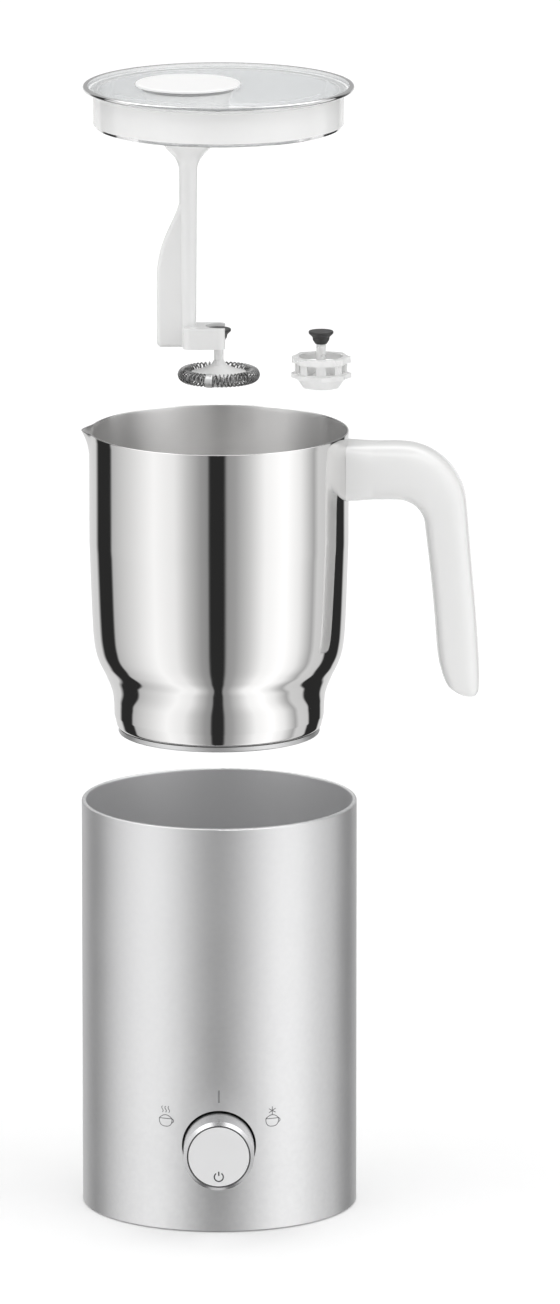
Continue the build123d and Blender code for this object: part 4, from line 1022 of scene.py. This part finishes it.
# ------------------------------------------------------------------ studio
@dataclass
class Studio:
    """Pale floor, soft light all round and the camera."""

    camera_x: float = 0.0265
    camera_y: float = -5.56
    camera_z: float = 1.456
    pitch: float = 77.715
    lens: float = 361.0
    # Angle from the camera's side in degrees, right of it positive, and how bright the studio is there.
    panels: tuple[Point, ...] = (
        (-180.0, 0.8), (-143.0, 0.8), (-136.0, 0.03), (-113.0, 0.03), (-110.0, 0.6), (-85.0, 0.9),
        (-60.0, 1.25), (-40.0, 1.08), (-28.0, 0.7), (-16.0, 0.4), (-10.0, 0.34), (-8.0, 0.03), (5.0, 0.03),
        (7.5, 0.38), (15.0, 0.44), (28.0, 0.76), (42.0, 1.2), (62.0, 1.4), (78.0, 1.1), (94.0, 0.5),
        (100.0, 0.8), (116.0, 0.75), (119.0, 0.03), (147.0, 0.03), (152.0, 0.8), (180.0, 0.8),
    )
    floor_half: float = 40.0
    overhead: float = 1.88
    zenith: float = 0.1
    backdrop: float = 0.4

    def build(self) -> None:
        """Builds floor, light and camera."""
        self.floor()
        self.light()
        self.camera()

    def floor(self) -> None:
        """A plain pale floor with a very slight grain."""
        mesh = bpy.data.meshes.new("floor")
        far = self.floor_half
        mesh.from_pydata([(-far, -far, 0), (far, -far, 0), (far, far, 0), (-far, far, 0)], [], [(0, 1, 2, 3)])
        floor = bpy.data.objects.new("floor", mesh)
        paper = Finish("pale_paper", (0.98, 0.98, 0.98), (0.97, 0.97, 0.97), 0.0, (0.8, 0.9), grain_scale=400.0,
                       grain_depth=0.02, wear=0.0, dust=0.0)
        mesh.materials.append(paper.material())
        bpy.context.scene.collection.objects.link(floor)
        floor.visible_glossy = False

    def light(self) -> None:
        """Soft panels all round, as bright as their angle from the camera says."""
        world = bpy.data.worlds.new("studio")
        bpy.context.scene.world = world
        world.use_nodes = True
        tree = world.node_tree
        place = tree.nodes.new("ShaderNodeTexCoord")
        parts = tree.nodes.new("ShaderNodeSeparateXYZ")
        tree.links.new(place.outputs["Generated"], parts.inputs[0])
        front = tree.nodes.new("ShaderNodeMath")
        front.operation = "MULTIPLY"
        front.inputs[1].default_value = -1.0
        tree.links.new(parts.outputs["Y"], front.inputs[0])
        turn = tree.nodes.new("ShaderNodeMath")
        turn.operation = "ARCTAN2"
        tree.links.new(parts.outputs["X"], turn.inputs[0])
        tree.links.new(front.outputs[0], turn.inputs[1])
        share = tree.nodes.new("ShaderNodeMapRange")
        share.inputs["From Min"].default_value = -math.pi
        share.inputs["From Max"].default_value = math.pi
        tree.links.new(turn.outputs[0], share.inputs["Value"])
        ramp = tree.nodes.new("ShaderNodeValToRGB")
        stops = ramp.color_ramp.elements
        top = max(level for _, level in self.panels)
        for index, (angle, level) in enumerate(self.panels):
            place_on_ramp = (angle + 180) / 360
            stop = stops[index] if index < 2 else stops.new(place_on_ramp)
            stop.position = place_on_ramp
            stop.color = (level / top, level / top, level / top, 1)
        tree.links.new(share.outputs["Result"], ramp.inputs["Fac"])
        behind = self._where(tree, parts.outputs["Y"], 0.6, 0.8)
        above = self._where(tree, parts.outputs["Z"], 0.0, 0.05)
        both = tree.nodes.new("ShaderNodeMath")
        both.operation = "MULTIPLY"
        tree.links.new(behind, both.inputs[0])
        tree.links.new(above, both.inputs[1])
        dim = tree.nodes.new("ShaderNodeMix")
        dim.data_type = "RGBA"
        dim.inputs[7].default_value = (*[self.backdrop / top] * 3, 1)
        tree.links.new(both.outputs[0], dim.inputs[0])
        tree.links.new(ramp.outputs["Color"], dim.inputs[6])
        over = self._where(tree, parts.outputs["Z"], 0.55, 0.75)
        mix = tree.nodes.new("ShaderNodeMix")
        mix.data_type = "RGBA"
        mix.inputs[7].default_value = (*[self.overhead / top] * 3, 1)
        tree.links.new(over, mix.inputs[0])
        tree.links.new(dim.outputs[2], mix.inputs[6])
        zenith = tree.nodes.new("ShaderNodeMix")
        zenith.data_type = "RGBA"
        zenith.inputs[7].default_value = (*[self.zenith / top] * 3, 1)
        tree.links.new(self._where(tree, parts.outputs["Z"], 0.925, 0.955), zenith.inputs[0])
        tree.links.new(mix.outputs[2], zenith.inputs[6])
        tree.links.new(zenith.outputs[2], tree.nodes["Background"].inputs["Color"])
        tree.nodes["Background"].inputs["Strength"].default_value = top

    @staticmethod
    def _where(tree: bpy.types.ShaderNodeTree, value: object, low: float, high: float) -> object:
        """Adds a node that is 0 where a value is under low and 1 where it is over high."""
        node = tree.nodes.new("ShaderNodeMapRange")
        node.inputs["From Min"].default_value = low
        node.inputs["From Max"].default_value = high
        tree.links.new(value, node.inputs["Value"])
        return node.outputs["Result"]

    def camera(self) -> None:
        """A long lens, level across and pitched down at the pieces."""
        data = bpy.data.cameras.new("camera")
        data.lens = self.lens
        data.sensor_width = 36.0
        data.sensor_fit = "AUTO"
        data.clip_end = 100.0
        camera = bpy.data.objects.new("camera", data)
        camera.location = (self.camera_x, self.camera_y, self.camera_z)
        camera.rotation_euler = (math.radians(self.pitch), 0, 0)
        bpy.context.scene.collection.objects.link(camera)
        bpy.context.scene.camera = camera
        bpy.context.scene.view_settings.view_transform = "Standard"


def main() -> None:
    """Dresses every CAD node, adds the fine pieces, and sets the studio."""
    logging.basicConfig(level=logging.INFO, format="%(message)s")
    for part in frame["record"]["subparts"]:
        dress(part["node"], BY_SLOT[part["material_slot"]])
    for step in (Base(), Dial(), Jug(), Lid(), Whisk(), Studio()):
        step.build()
        log.info("built %s", type(step).__name__)


if __name__ == "__main__":
    main()
